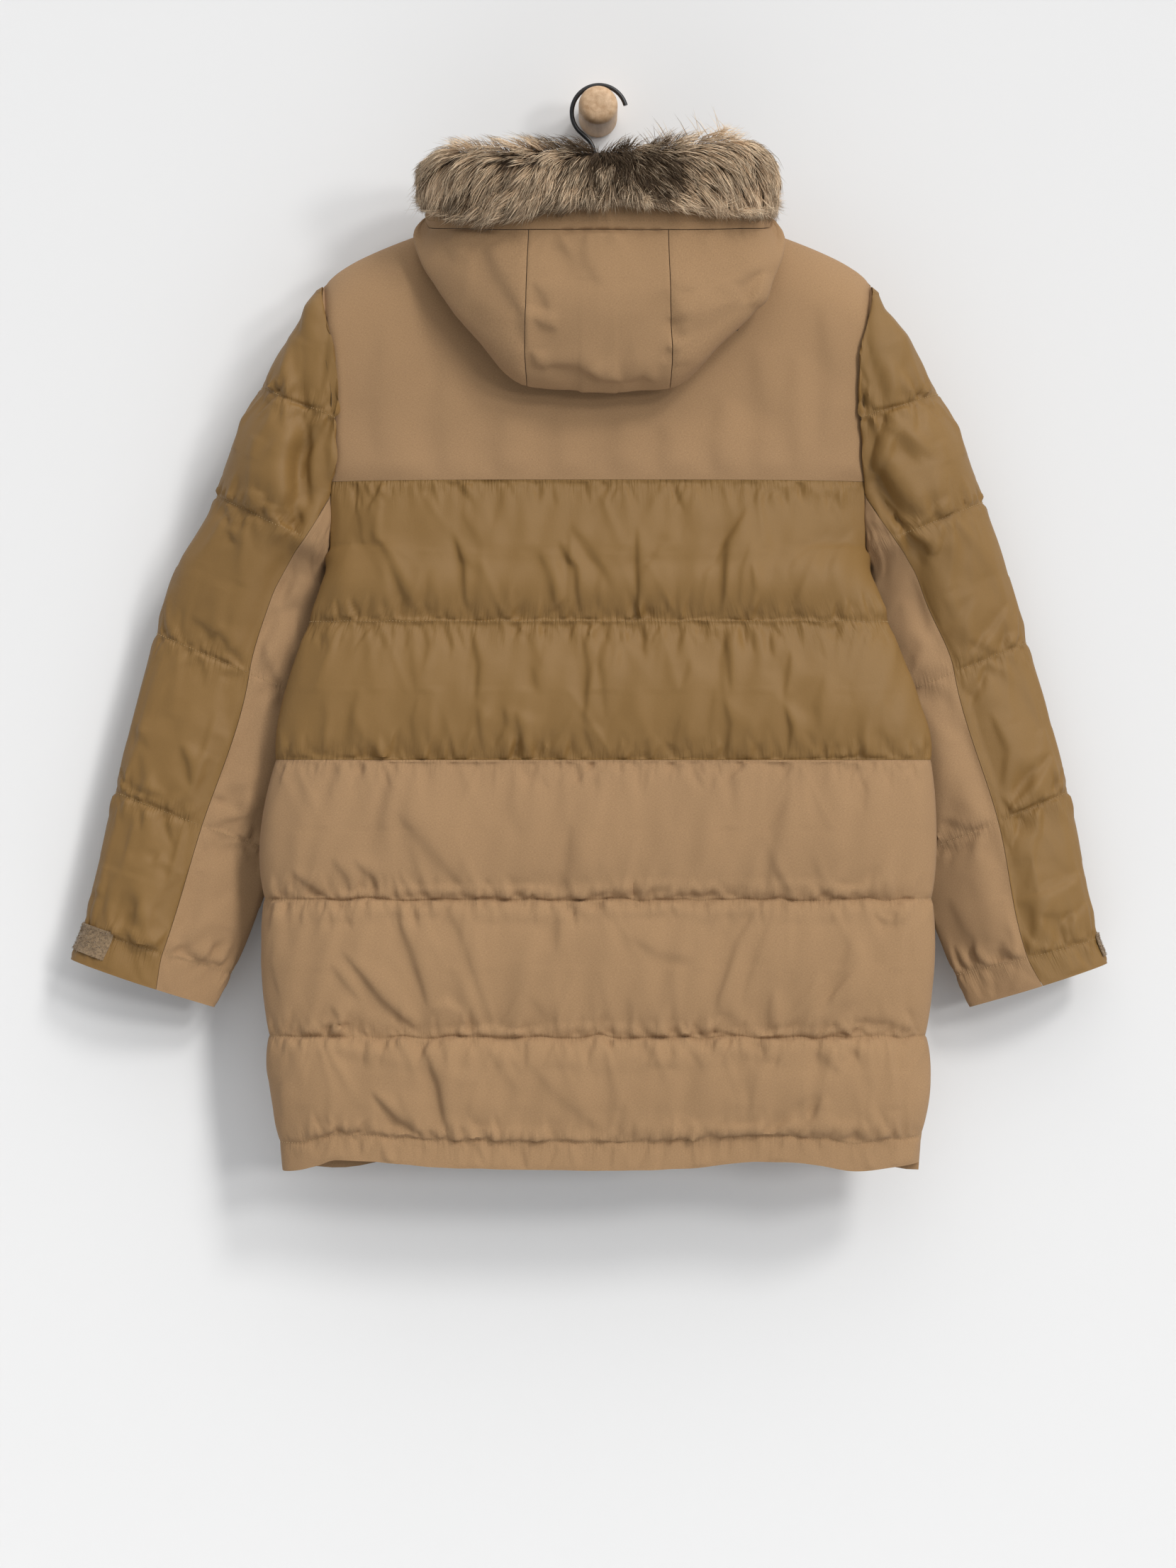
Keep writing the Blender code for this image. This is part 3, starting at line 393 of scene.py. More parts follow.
def creases(x, drop, rows, soft=1.0, sharp=1.0):
    """Sum of listed creases: a steep narrow face between a soft valley and a soft
    ridge, widest at its middle and running out to a point at both ends."""
    total = np.zeros(x.shape)
    for *path, width, depth in rows:
        signed, along = beside(x, drop, path)
        middle = np.abs(2 * along - 1)
        signed, fade = signed / (width * (1.35 - 0.95 * middle)), 1 - middle ** 2
        broad = 0.7 * np.tanh(signed / 0.8) * np.exp(-(signed / 2.6) ** 2)
        face = 0.5 * np.sin(np.clip(signed / 0.5, -1, 1) * (math.pi / 2))
        tail = np.maximum(np.abs(signed) - 0.5, 0) / np.where(signed > 0, 2.2, 1.4)
        total += depth * fade * (soft * broad + sharp * face * np.exp(-tail ** 2))
    return total


def valleys(x, drop, rows):
    """Deep folds: a valley with one gentle and one steep side under a full lip."""
    total = np.zeros(x.shape)
    for *path, width, depth in rows:
        signed, along = beside(x, drop, path)
        signed, fade = signed / width, 1 - np.abs(2 * along - 1) ** 3
        total -= depth * fade * (np.exp(-(signed / np.where(signed > 0, 0.5, 1.5)) ** 2)
                                 - 0.25 * np.exp(-((signed - 1.4) / 0.8) ** 2))
    return total


def gathers(lines, low, high, seed, pitch=7.0, reach=24.0, deep=1.0):
    """Many short creases that leave the lines of stitching at about a right angle."""
    draw = np.random.default_rng(seed)
    rows = []
    for line in lines:
        for side in (-1, 1):
            for _ in range(int((high - low) / pitch)):
                at, lean = draw.uniform(low, high), draw.normal(0, 0.3)
                length = side * reach * draw.uniform(0.3, 1.0) ** 1.5 * 1.4
                back = 0.4 * length
                rows.append((at - lean * back, line - back, at + lean * length * 0.3,
                             line + length * 0.3, at + (lean + draw.normal(0, 0.15)) * length,
                             line + length, draw.uniform(2.2, 4.4), deep * draw.uniform(0.4, 1.4)))
    return rows


def elsewhere(rows, seed, flip=-1):
    """Creases of the same kind for a hidden side: mirrored, moved and weakened a little."""
    draw = np.random.default_rng(seed)
    out = []
    for row in rows:
        row, shift = np.array(row, float), draw.normal(0, 14, 2)
        row[0:6:2] = row[0:6:2] * flip + shift[0]
        row[1:6:2] += shift[1] * 0.5
        row[7] *= draw.uniform(0.5, 0.9)
        out.append(tuple(row))
    return out


MIDDLE_CREASES = (
    (-140, 428, -131, 458, -127, 510, 5, 2.2), (-28, 416, -5, 447, 15, 480, 9, 2.4),
    (-39, 433, -22, 462, -17, 508, 6, 3.2), (38, 418, 38, 462, 41, 510, 5, 2.4),
    (-58, 441, -47, 473, -38, 502, 8, 1.6), (146, 397, 125, 435, 122, 508, 8, 3.0),
    (148, 458, 151, 481, 143, 508, 5, 1.6), (129, 420, 113, 458, 98, 473, 6, 1.4),
    (-222, 420, -201, 458, -172, 508, 8, 2.2), (-238, 386, -232, 416, -229, 441, 6, 1.2),
    (-203, 458, -190, 485, -180, 509, 5, 1.6), (71, 436, 60, 437, 48, 442, 4, 0.8),
    (214, 435, 192, 454, 183, 471, 7, 1.2), (251, 416, 235, 443, 219, 475, 9, 1.8),
    (-92, 382, -98, 405, -104, 428, 9, 0.9), (91, 382, 87, 409, 81, 435, 9, 0.9),
    (-125, 512, -116, 553, -118, 591, 6, 2.4), (-118, 591, -115, 611, -112, 639, 5, 1.6),
    (-17, 512, -9, 561, -14, 611, 7, 3.6), (-14, 611, -9, 626, -3, 644, 5, 1.8),
    (4, 527, 1, 546, 2, 563, 5, 1.2), (41, 512, 43, 530, 48, 546, 4, 1.2),
    (121, 512, 127, 546, 129, 580, 6, 2.0), (121, 584, 128, 611, 124, 641, 6, 2.0),
    (148, 512, 151, 527, 152, 542, 4, 1.2), (168, 512, 168, 530, 171, 548, 4, 1.4),
    (187, 538, 184, 561, 180, 587, 6, 2.2), (180, 591, 187, 614, 184, 644, 5, 2.6),
    (196, 511, 196, 523, 199, 536, 4, 1.0), (237, 511, 234, 521, 231, 532, 4, 1.0),
    (-92, 593, -89, 611, -104, 639, 6, 2.0), (-81, 597, -76, 614, -73, 639, 5, 1.8),
    (64, 629, 73, 634, 85, 639, 4, 1.4), (-185, 512, -185, 527, -188, 540, 4, 1.0),
    (-203, 512, -204, 527, -207, 538, 4, 1.0), (89, 546, 87, 561, 80, 577, 5, 1.1),
    (-157, 515, -163, 538, -172, 561, 8, 1.2), (-58, 527, -63, 553, -60, 580, 9, 1.0),
    (220, 561, 212, 591, 216, 622, 10, 1.4), (-233, 576, -241, 607, -249, 637, 9, 1.4),
    (277, 591, 273, 614, 285, 637, 7, 1.2))
LOWER_CREASES = (
    (-203, 649, -211, 702, -198, 780, 14, 1.8), (-199, 694, -168, 727, -122, 775, 12, 2.2),
    (-300, 751, -278, 768, -263, 780, 5, 2.0), (-239, 740, -218, 760, -210, 779, 6, 2.4),
    (-259, 739, -245, 757, -239, 779, 6, 1.8), (-25, 702, -29, 742, -31, 779, 9, 1.2),
    (189, 663, 173, 711, 161, 779, 15, 2.6), (213, 768, 223, 774, 234, 780, 5, 2.4),
    (-175, 772, -113, 777, -47, 776, 5, 1.6), (-18, 776, 32, 772, 81, 766, 5, 1.8),
    (61, 776, 94, 773, 127, 773, 5, 1.6), (262, 654, 261, 676, 259, 698, 7, 1.0),
    (-3, 648, -2, 663, 0, 678, 6, 1.0), (-87, 654, -84, 689, -73, 724, 12, 0.9),
    (121, 729, 107, 751, 101, 773, 9, 1.1), (63, 654, 76, 680, 74, 711, 12, 0.9),
    (-199, 784, -181, 835, -164, 885, 9, 3.6), (-131, 888, -148, 877, -165, 884, 6, 1.8),
    (-250, 830, -210, 877, -168, 913, 6, 3.0), (-261, 843, -245, 863, -230, 879, 5, 1.4),
    (156, 784, 134, 824, 113, 888, 8, 2.8), (215, 850, 195, 879, 178, 905, 9, 2.2),
    (180, 903, 169, 912, 154, 910, 4, 2.6), (83, 913, 107, 907, 135, 914, 4, 2.6),
    (28, 816, 59, 835, 95, 840, 9, 1.6), (245, 817, 235, 857, 220, 892, 12, 1.8),
    (229, 912, 240, 909, 253, 918, 4, 2.6), (266, 794, 280, 803, 298, 803, 4, 1.6),
    (271, 789, 284, 793, 295, 798, 4, 1.2), (-272, 905, -258, 902, -263, 919, 4, 2.6),
    (-261, 882, -252, 893, -243, 905, 5, 1.8), (-36, 787, -39, 808, -41, 835, 8, 1.4),
    (169, 868, 165, 888, 168, 910, 6, 1.4), (248, 895, 284, 900, 311, 909, 6, 1.6),
    (-126, 808, -144, 830, -140, 861, 12, 0.9), (-69, 870, -51, 892, -47, 912, 8, 1.0),
    (28, 870, 31, 892, 29, 912, 7, 0.9), (-316, 813, -320, 843, -311, 874, 8, 1.4),
    (306, 861, 301, 883, 314, 905, 6, 1.2), (-171, 919, -156, 960, -147, 1007, 8, 3.8),
    (-221, 967, -197, 992, -164, 1013, 4.5, 3.4), (-166, 1001, -154, 1014, -142, 1006, 5, 2.4),
    (-117, 957, -125, 976, -128, 998, 7, 1.4), (-69, 938, -43, 969, 4, 1003, 10, 1.4),
    (218, 970, 208, 992, 191, 1014, 7, 3.4), (198, 918, 220, 935, 237, 951, 8, 1.8),
    (234, 918, 244, 925, 255, 934, 5, 1.4), (-142, 1010, -87, 1013, -23, 1012, 5, 2.6),
    (19, 1013, 107, 1012, 191, 1010, 5, 2.8), (247, 997, 253, 1007, 261, 1013, 5, 1.6),
    (-292, 1012, -245, 1010, -181, 1012, 5, 2.0), (28, 976, 22, 993, 19, 1012, 7, 1.4),
    (-306, 954, -312, 971, -307, 993, 7, 1.4), (63, 927, 76, 949, 74, 976, 13, 1.0),
    (151, 927, 143, 954, 149, 980, 12, 1.0), (-104, 927, -95, 949, -69, 971, 12, 0.9))
YOKE_CREASES = (
    (-150, 250, -158, 310, -150, 369, 20, 1.4), (-95, 300, -100, 335, -96, 369, 16, 1.1),
    (150, 240, 158, 310, 150, 369, 18, 1.5), (120, 290, 112, 330, 116, 369, 14, 1.3),
    (190, 250, 186, 300, 192, 369, 16, 1.4), (60, 315, 64, 340, 60, 369, 12, 0.9),
    (20, 310, 14, 340, 18, 369, 14, 0.8), (-45, 305, -40, 340, -44, 369, 16, 0.8),
    (215, 200, 222, 270, 216, 340, 14, 1.1), (-210, 220, -220, 290, -214, 350, 18, 1.0))

# %% [markdown]
# ## Letting Blender's Cloth wrinkle the padding
#
# Filled cloth is blown up from inside and is cut a little larger than the space between
# its seams.  Cloth can do just that: the seams are pinned, a shape key holds the larger
# cut as the rest shape, and pressure does the rest.  A cap on how far a point may go
# keeps the outline, and the result goes back into the grid it came from.

# %% Settle the padded shells
CLOTH_FRAMES, PRESSURE, FURTHEST = 20, 2.0, 4.0


def settle(shells, spare):
    """Run one Cloth over several grids, each with its own pins, and return new grids;
    spare is how much larger than its place the cloth is cut, along x, y and z."""
    points, faces, pins, start = [], [], [], 0
    for shell in shells:
        grid = shell["outer"]
        rows, columns = grid.shape[:2]
        quads = grid_quads(start + np.arange(rows * columns).reshape(rows, columns))
        outward = (grid_normals(grid) * (grid - shell["inner"])).sum()
        faces.append(quads[:, ::-1] if outward > 0 else quads)
        points.append(grid.reshape(-1, 3) * MM)
        pins.append(shell["pin"].reshape(-1))
        start += rows * columns
    centres = [p.mean(axis=0) for p in points]
    cut = np.concatenate([(p - c) * spare + c for p, c in zip(points, centres)])
    counts = [len(p) for p in points]
    points, faces, pins = (np.concatenate(part) for part in (points, faces, pins))
    mesh = bpy.data.meshes.new("settling")
    mesh.from_pydata(points.tolist(), [], faces.tolist())
    cloth = bpy.data.objects.new("settling", mesh)
    scene.collection.objects.link(cloth)
    sewn = cloth.vertex_groups.new(name="sewn")
    sewn.add(np.flatnonzero(pins > 0.5).tolist(), 1.0, "REPLACE")
    cloth.shape_key_add(name="hung")
    key = cloth.shape_key_add(name="cut")
    key.data.foreach_set("co", cut.ravel())
    modifier = cloth.modifiers.new("cloth", "CLOTH")
    how = modifier.settings
    how.quality, how.mass = 4, 0.3
    how.tension_stiffness = how.compression_stiffness = 15
    how.shear_stiffness, how.bending_stiffness = 5, 0.08
    how.vertex_group_mass, how.pin_stiffness = "sewn", 1.0
    how.rest_shape_key = key
    how.use_pressure, how.uniform_pressure_force = True, PRESSURE
    how.effector_weights.gravity = 0.0
    modifier.collision_settings.use_collision = False
    modifier.point_cache.frame_start, modifier.point_cache.frame_end = 1, CLOTH_FRAMES
    for at in range(1, CLOTH_FRAMES + 1):
        scene.frame_set(at)
    done = cloth.evaluated_get(bpy.context.evaluated_depsgraph_get()).data
    moved = np.empty(len(points) * 3)
    done.vertices.foreach_get("co", moved)
    move = moved.reshape(-1, 3) - points
    far = np.linalg.norm(move, axis=1, keepdims=True)
    move *= np.minimum(1, FURTHEST * MM / np.maximum(far, 1e-9)) * (pins < 0.5)[:, None]
    settled = (points + move) / MM
    bpy.data.objects.remove(cloth, do_unlink=True)
    scene.frame_set(1)
    print("settled", len(points), "points, furthest", round(float(far.max()) / MM, 1), "mm")
    return [part.reshape(s["outer"].shape)
            for part, s in zip(np.split(settled, np.cumsum(counts)[:-1]), shells)]


def finer(grid):
    """A row and a column more between each two, on a smooth curve through them."""
    for axis in (0, 1):
        g = np.moveaxis(grid, axis, 0)
        before = np.concatenate([2 * g[:1] - g[1:2], g[:-2]])
        after = np.concatenate([g[2:], 2 * g[-1:] - g[-2:-1]])
        out = np.empty((2 * len(g) - 1,) + g.shape[1:])
        out[::2], out[1::2] = g, (9 * (g[:-1] + g[1:]) - before - after) / 16
        grid = np.moveaxis(out, 0, axis)
    return grid


def between(lines, step=6.0):
    """Row positions with closer rows beside each line of stitching."""
    rows = []
    for low, high in zip(lines, lines[1:]):
        count = max(int(round((high - low - 10) / step)), 2)
        rows += [low, low + 2] + list(np.linspace(low + 5, high - 5, count + 1)) + [high - 2]
    return np.array(rows + [lines[-1]])


# %% [markdown]
# ## Cloth as a closed wall
#
# Each piece is a closed wall with a face cloth outside and a lining inside, as the real
# one has.  It carries a UV map in metres that runs with the cloth, so a weave keeps its
# size and turns with a slanted sleeve.

# %% Make a wall from two grids


def volume(points, quads):
    a, b, c, d = (points[quads[:, i]] for i in range(4))
    return float((np.cross(b - a, c - a) * a).sum() + (np.cross(c - a, d - a) * a).sum()) / 6


def wall(name, outer, inner, materials, facing_rows=None, near=None):
    """Closed wall; materials are the face cloth and the lining, facing_rows the mask of
    rows that show face cloth inside, as at a turned-up hem, near how close each point is
    to a seam.  The lining has fewer rows and columns, and many-sided faces close the rim."""
    rows, columns = outer.shape[:2]
    skips = [next(skip for skip in (4, 2, 1) if (count - 1) % skip == 0)
             if rows * columns > 2000 else 1 for count in (rows, columns)]
    coarse = (slice(None, None, skips[0]), slice(None, None, skips[1]))
    lining = inner[coarse]
    count = rows * columns
    points = np.concatenate([outer.reshape(-1, 3), lining.reshape(-1, 3)]) * MM
    index = np.arange(count).reshape(rows, columns)
    under = count + np.arange(lining.shape[0] * lining.shape[1]).reshape(lining.shape[:2])
    quads, backs = grid_quads(index), grid_quads(under)
    rim = []
    for turn in range(4):
        above, below = np.rot90(index, turn)[0].tolist(), np.rot90(under, turn)[0].tolist()
        skip = (len(above) - 1) // (len(below) - 1)
        rim += [above[skip * k:skip * k + skip + 1][::-1] + below[k:k + 2]
                for k in range(len(below) - 1)]
    outward = (np.cross(outer[:-1, 1:] - outer[:-1, :-1], outer[1:, :-1] - outer[:-1, :-1])
               * (outer - inner)[:-1, :-1]).sum() > 0
    faces = quads.tolist() + backs[:, ::-1].tolist() + rim
    if not outward:
        faces = [face[::-1] for face in faces]
    mesh = bpy.data.meshes.new(name)
    mesh.from_pydata(points.tolist(), [], faces)
    u, v = (run_length(line) * MM for line in (outer[rows // 2], outer[:, columns // 2]))
    uv = np.stack(np.meshgrid(u, v), -1)
    uv = np.concatenate([uv.reshape(-1, 2), uv[coarse].reshape(-1, 2)])
    corner = np.empty(len(mesh.loops), int)
    mesh.loops.foreach_get("vertex_index", corner)
    mesh.uv_layers.new(name="cloth").data.foreach_set("uv", uv[corner].ravel())
    if near is not None:
        values = np.concatenate([near.ravel(), near[coarse].ravel()]).astype(np.float32)
        mesh.attributes.new("gather", "FLOAT", "POINT").data.foreach_set("value", values)
    lined = np.zeros(len(faces), int)
    inside = np.ones(len(backs), int)
    if facing_rows is not None:
        facing = facing_rows[coarse[0]]
        inside[np.repeat(facing[:-1] | facing[1:], lining.shape[1] - 1)] = 0
    lined[len(quads):len(quads) + len(backs)] = inside
    for material in materials:
        mesh.materials.append(material)
    mesh.polygons.foreach_set("material_index", np.minimum(lined, len(materials) - 1))
    piece = bpy.data.objects.new(name, mesh)
    scene.collection.objects.link(piece)
    round_off(piece)
    return piece


def only(piece):
    """Select one object and make it active."""
    bpy.ops.object.select_all(action="DESELECT")
    piece.select_set(True)
    bpy.context.view_layer.objects.active = piece


def round_off(piece, sharp=52):
    """Shade a piece smooth, apart from edges that turn by more than sharp degrees."""
    only(piece)
    bpy.ops.object.shade_smooth_by_angle(angle=math.radians(sharp))


def carry(piece, slot, *nodes, body="root"):
    """Ride a body and take the place of CAD nodes; slot, the name of the finish, is not used."""
    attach(piece, body)
    if nodes:
        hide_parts(*nodes)


def hang(piece, slot, node):
    """Carry a sheet of cloth."""
    carry(piece, slot, node)


# %% [markdown]
# ## Finishes
#
# Every cloth shares two effects, so each is a node group: yarn, which mixes threads of
# slightly different colour along the weave, and grain, the height of the weave and of
# small wrinkles.  The matte face cloth is a heathered twill, the sleeves and the middle
# block are a smooth nylon with a soft shine.

# %% Node helpers and the two groups


def add(tree, kind, place=(0, 0), **values):
    """New node with its inputs and properties set by name."""
    made = tree.nodes.new(kind)
    made.location = place
    for name, value in values.items():
        if hasattr(made, name):
            setattr(made, name, value)
        else:
            made.inputs[name.replace("_", " ")].default_value = value
    return made


def new_group(name, inputs, outputs):
    tree = bpy.data.node_groups.new(name, "ShaderNodeTree")
    for way, sockets in (("INPUT", inputs), ("OUTPUT", outputs)):
        for label, kind, value in sockets:
            socket = tree.interface.new_socket(label, in_out=way, socket_type="NodeSocket" + kind)
            if value is not None:
                socket.default_value = value
    return tree, tree.nodes.new("NodeGroupInput"), tree.nodes.new("NodeGroupOutput")


def stretched_noise(tree, vector, scale, detail=2.0):
    """Noise that is stretched by a Mapping node; returns its value socket."""
    mapping = add(tree, "ShaderNodeMapping")
    mapping.inputs["Scale"].default_value = scale
    noise = add(tree, "ShaderNodeTexNoise", Scale=1.0, Detail=detail)
    tree.links.new(vector, mapping.inputs["Vector"])
    tree.links.new(mapping.outputs["Vector"], noise.inputs["Vector"])
    return noise.outputs["Fac"]


def maths(tree, operation, *values):
    node = add(tree, "ShaderNodeMath", operation=operation)
    for i, value in enumerate(values):
        if isinstance(value, (int, float)):
            node.inputs[i].default_value = value
        else:
            tree.links.new(value, node.inputs[i])
    return node.outputs[0]


def yarn_group():
    """Colour of a melange cloth: yarns across and down, and slow unevenness."""
    tree, given, out = new_group(
        "yarn", (("Vector", "Vector", None), ("Colour", "Color", (0.5, 0.5, 0.5, 1)),
                 ("Mix", "Float", 0.2), ("Uneven", "Float", 0.1)),
        (("Colour", "Color", None),))
    across = stretched_noise(tree, given.outputs["Vector"], (420, 1900, 1), 3)
    down = stretched_noise(tree, given.outputs["Vector"], (1700, 520, 1), 2)
    slow = stretched_noise(tree, given.outputs["Vector"], (14, 11, 1), 3)
    yarn = maths(tree, "SUBTRACT", maths(tree, "ADD", maths(tree, "MULTIPLY", across, 1.3), down),
                 1.15)
    shade = maths(tree, "MULTIPLY", yarn, given.outputs["Mix"])
    drift = maths(tree, "MULTIPLY", maths(tree, "SUBTRACT", slow, 0.5), given.outputs["Uneven"])
    factor = maths(tree, "ADD", maths(tree, "ADD", shade, drift), 1.0)
    scale = add(tree, "ShaderNodeVectorMath", operation="SCALE")
    tree.links.new(given.outputs["Colour"], scale.inputs[0])
    tree.links.new(factor, scale.inputs["Scale"])
    tree.links.new(scale.outputs[0], out.inputs["Colour"])
    return tree


def grain_group():
    """Height of a weave: ribs of a twill, loose fibres, small wrinkles, and where Gather is
    above 0 the finest folds that a seam pulls into the cloth."""
    tree, given, out = new_group(
        "grain", (("Vector", "Vector", None), ("Ribs", "Float", 900.0),
                  ("Rib share", "Float", 0.4), ("Wrinkle share", "Float", 0.4),
                  ("Gather", "Float", 0.0)),
        (("Height", "Float", None),))
    wave = add(tree, "ShaderNodeTexWave", bands_direction="DIAGONAL", Distortion=1.5)
    tree.links.new(given.outputs["Vector"], wave.inputs["Vector"])
    tree.links.new(given.outputs["Ribs"], wave.inputs["Scale"])
    fibre = stretched_noise(tree, given.outputs["Vector"], (900, 900, 1), 3)
    small = stretched_noise(tree, given.outputs["Vector"], (70, 46, 1), 4)
    height = maths(tree, "ADD", maths(tree, "MULTIPLY", wave.outputs["Fac"],
                                      given.outputs["Rib share"]),
                   maths(tree, "MULTIPLY", small, given.outputs["Wrinkle share"]))
    height = maths(tree, "ADD", height, maths(tree, "MULTIPLY", fibre, 0.3))
    pulled = maths(tree, "ABSOLUTE", maths(tree, "SUBTRACT", stretched_noise(
        tree, given.outputs["Vector"], (150, 22, 1), 2), 0.5))
    pulled = maths(tree, "MINIMUM", maths(tree, "MULTIPLY", pulled, 7.0), 1.0)
    height = maths(tree, "ADD", height, maths(tree, "MULTIPLY", maths(
        tree, "MULTIPLY", pulled, given.outputs["Gather"]), 2.2))
    tree.links.new(height, out.inputs["Height"])
    return tree


YARN, GRAIN = yarn_group(), grain_group()
print("groups:", [group.name for group in bpy.data.node_groups])

# %% Cloth finishes


def principled(name, **sockets):
    """New material; returns it with its tree and its Principled shader."""
    material = bpy.data.materials.new(name)
    material.use_nodes = True
    tree = material.node_tree
    shader = tree.nodes["Principled BSDF"]
    for label, value in sockets.items():
        shader.inputs[label.replace("_", " ")].default_value = value
    return material, tree, shader


def relief(tree, shader, height, depth, strength=1.0):
    """Let a height stand out of the surface by a depth in metres."""
    bump = add(tree, "ShaderNodeBump", (-300, -200), Strength=strength, Distance=depth)
    tree.links.new(height, bump.inputs["Height"])
    tree.links.new(bump.outputs["Normal"], shader.inputs["Normal"])


def colour_ramp(tree, factor, *stops):
    """Colours at the positions of a ramp; returns its colour socket."""
    ramp = add(tree, "ShaderNodeValToRGB", (-400, 0))
    elements = ramp.color_ramp.elements
    elements[0].position, elements[1].position = stops[0][0], stops[-1][0]
    for position, _ in stops[1:-1]:
        elements.new(position)
    for element, (_, colour) in zip(elements, stops):
        element.color = (*colour, 1)
    tree.links.new(factor, ramp.inputs["Fac"])
    return ramp.outputs["Color"]


def object_noise(tree, scale, detail):
    """Noise that stays with the piece, stretched by a scale for each axis."""
    where = add(tree, "ShaderNodeTexCoord", (-900, 0))
    return stretched_noise(tree, where.outputs["Object"], scale, detail)


def speckled(name, scale, detail, *stops, depth=None, **sockets):
    """Material whose colour follows one noise, with relief of a depth where one is given."""
    material, tree, shader = principled(name, **sockets)
    noise = object_noise(tree, scale, detail)
    tree.links.new(colour_ramp(tree, noise, *stops), shader.inputs["Base Color"])
    if depth:
        relief(tree, shader, noise, depth)
    return material


def cloth_finish(name, colour, mix, uneven, ribs, rib_share, wrinkle_share, depth, **sockets):
    material, tree, shader = principled(name, **sockets)
    uv = add(tree, "ShaderNodeUVMap", (-900, 0), uv_map="cloth")
    yarn = add(tree, "ShaderNodeGroup", (-600, 200), node_tree=YARN)
    grain = add(tree, "ShaderNodeGroup", (-600, -200), node_tree=GRAIN)
    for group in (yarn, grain):
        tree.links.new(uv.outputs["UV"], group.inputs["Vector"])
    gather = add(tree, "ShaderNodeAttribute", (-900, -300), attribute_name="gather")
    tree.links.new(gather.outputs["Fac"], grain.inputs["Gather"])
    yarn.inputs["Colour"].default_value = (*colour, 1)
    yarn.inputs["Mix"].default_value, yarn.inputs["Uneven"].default_value = mix, uneven
    grain.inputs["Ribs"].default_value = ribs
    grain.inputs["Rib share"].default_value = rib_share
    grain.inputs["Wrinkle share"].default_value = wrinkle_share
    tree.links.new(yarn.outputs["Colour"], shader.inputs["Base Color"])
    relief(tree, shader, grain.outputs["Height"], depth)
    return material


TAN = cloth_finish("tan_twill", (0.338, 0.2075, 0.107), 0.40, 0.14, 700, 0.25, 0.5, 0.00022,
                   Roughness=0.88, Sheen_Weight=0.05, Sheen_Roughness=0.5,
                   Specular_IOR_Level=0.2)
OLIVE = cloth_finish("olive_nylon", (0.228, 0.127, 0.039), 0.12, 0.12, 1100, 0.12, 0.8, 0.00035,
                     Roughness=0.56, Specular_IOR_Level=0.32)
LINING = cloth_finish("brown_lining", (0.075, 0.055, 0.035), 0.12, 0.10, 1100, 0.1, 0.8, 0.0004,
                      Roughness=0.5, Specular_IOR_Level=0.4)
TAPE = cloth_finish("zip_tape_weave", (0.045, 0.036, 0.028), 0.35, 0.05, 1500, 0.8, 0.1, 0.0002,
                    Roughness=0.85, Specular_IOR_Level=0.3)
print("cloth finishes ready")

# %% [markdown]
# ## The body
#
# The yoke is plain and lightly filled, so it needs only soft folds.  The blocks under it
# are quilted: their outer grids go to Cloth together.  The front, which hangs to the
# wall, is made the same way in two halves with creases of the same kind.

# %% Build the plain grids of the body
shells = {}


def body_shell(name, facing, share, rows, rows_of_creases, loft, seed):
    """Grids of one quilted block, with the pins of its seams and stitched lines."""
    share, drop = np.meshgrid(share, rows)
    if facing < 0:
        faint = elsewhere(rows_of_creases, seed + 70)
        rows_of_creases = list(rows_of_creases) + [row[:7] + (0.6 * row[7],) for row in faint]
    surface = block_surface(facing)
    inner = surface(share, drop)
    normal = panel_normals(inner, share, drop, facing)
    rise, part = baffle(drop, BODY_LINES, (1.25, 1.25, 1.1, 0.85, 0.85, 1.0))
    sag = rise * ease((part - 0.5) / 0.4)
    block = np.searchsorted(BODY_LINES, drop, side="right")
    x = inner[..., 0]
    rise = rise ** (1.2 if drop.max() < BLOCK_DROP + 1 else 1) * (1 + 0.10 * uneven(
        x + 60 * block, seed))
    edge = 1 - 0.6 * np.abs(share) ** 8
    if facing > 0:
        edge = 0.15 + 0.85 * ease((0.85 - np.abs(share)) / 0.3)
        edge = edge * ease((np.abs(share) - ZIP_HALF / 270) / 0.08 + 0.25)
    flat = np.where(drop > HEM_STITCH_DROP, 0.1, 1.0)
    rise = rise * edge * flat
    dents = creases(x, drop, rows_of_creases, 0.9, 0)
    dents += 0.6 * uneven(x + 0.25 * drop, seed + 1, 8, 110.0)
    dents *= np.minimum(rise * 2.5, 1)
    outer = meet_armhole(inner + normal * (SHELL - 0.8 + loft * rise + dents)[..., None],
                         share, drop)
    if drop.max() > BLOCK_DROP + 1:
        outer[..., 2] -= SAG * sag * edge
    for line, wave in ((BODY_LINES[1], 0.5), (BODY_LINES[3], 1.5), (BODY_LINES[4], 2.0),
                       (BODY_LINES[5], 1.2)):
        shift = wave * uneven(x, seed + int(line), 7, 120.0) * np.exp(-((drop - line) / 22) ** 2)
        shift = shift * ease((1 - np.abs(share)) * 12)
        for grid in (inner, outer):
            grid[..., 2] += shift
    draw_back((inner, outer), ("top", "first", "last") + (() if drop.max() >= HEM_DROP
                                                          else ("bottom",)), 0.1)
    pin = np.zeros(share.shape, bool)
    pin[[0, -1]] = pin[:, [0, -1]] = True
    pin |= np.isin(drop, BODY_LINES) | (drop > HEM_STITCH_DROP)
    shells[name] = dict(outer=outer, inner=inner, pin=pin, drop=drop, rise=rise, share=share,
                        creases=rows_of_creases, seed=seed)


def bowed(count):
    """Shares from -1 to 1, closer together at both edges."""
    t = np.linspace(-1, 1, count)
    return np.sign(t) * (1 - (1 - np.abs(t)) ** 1.2)


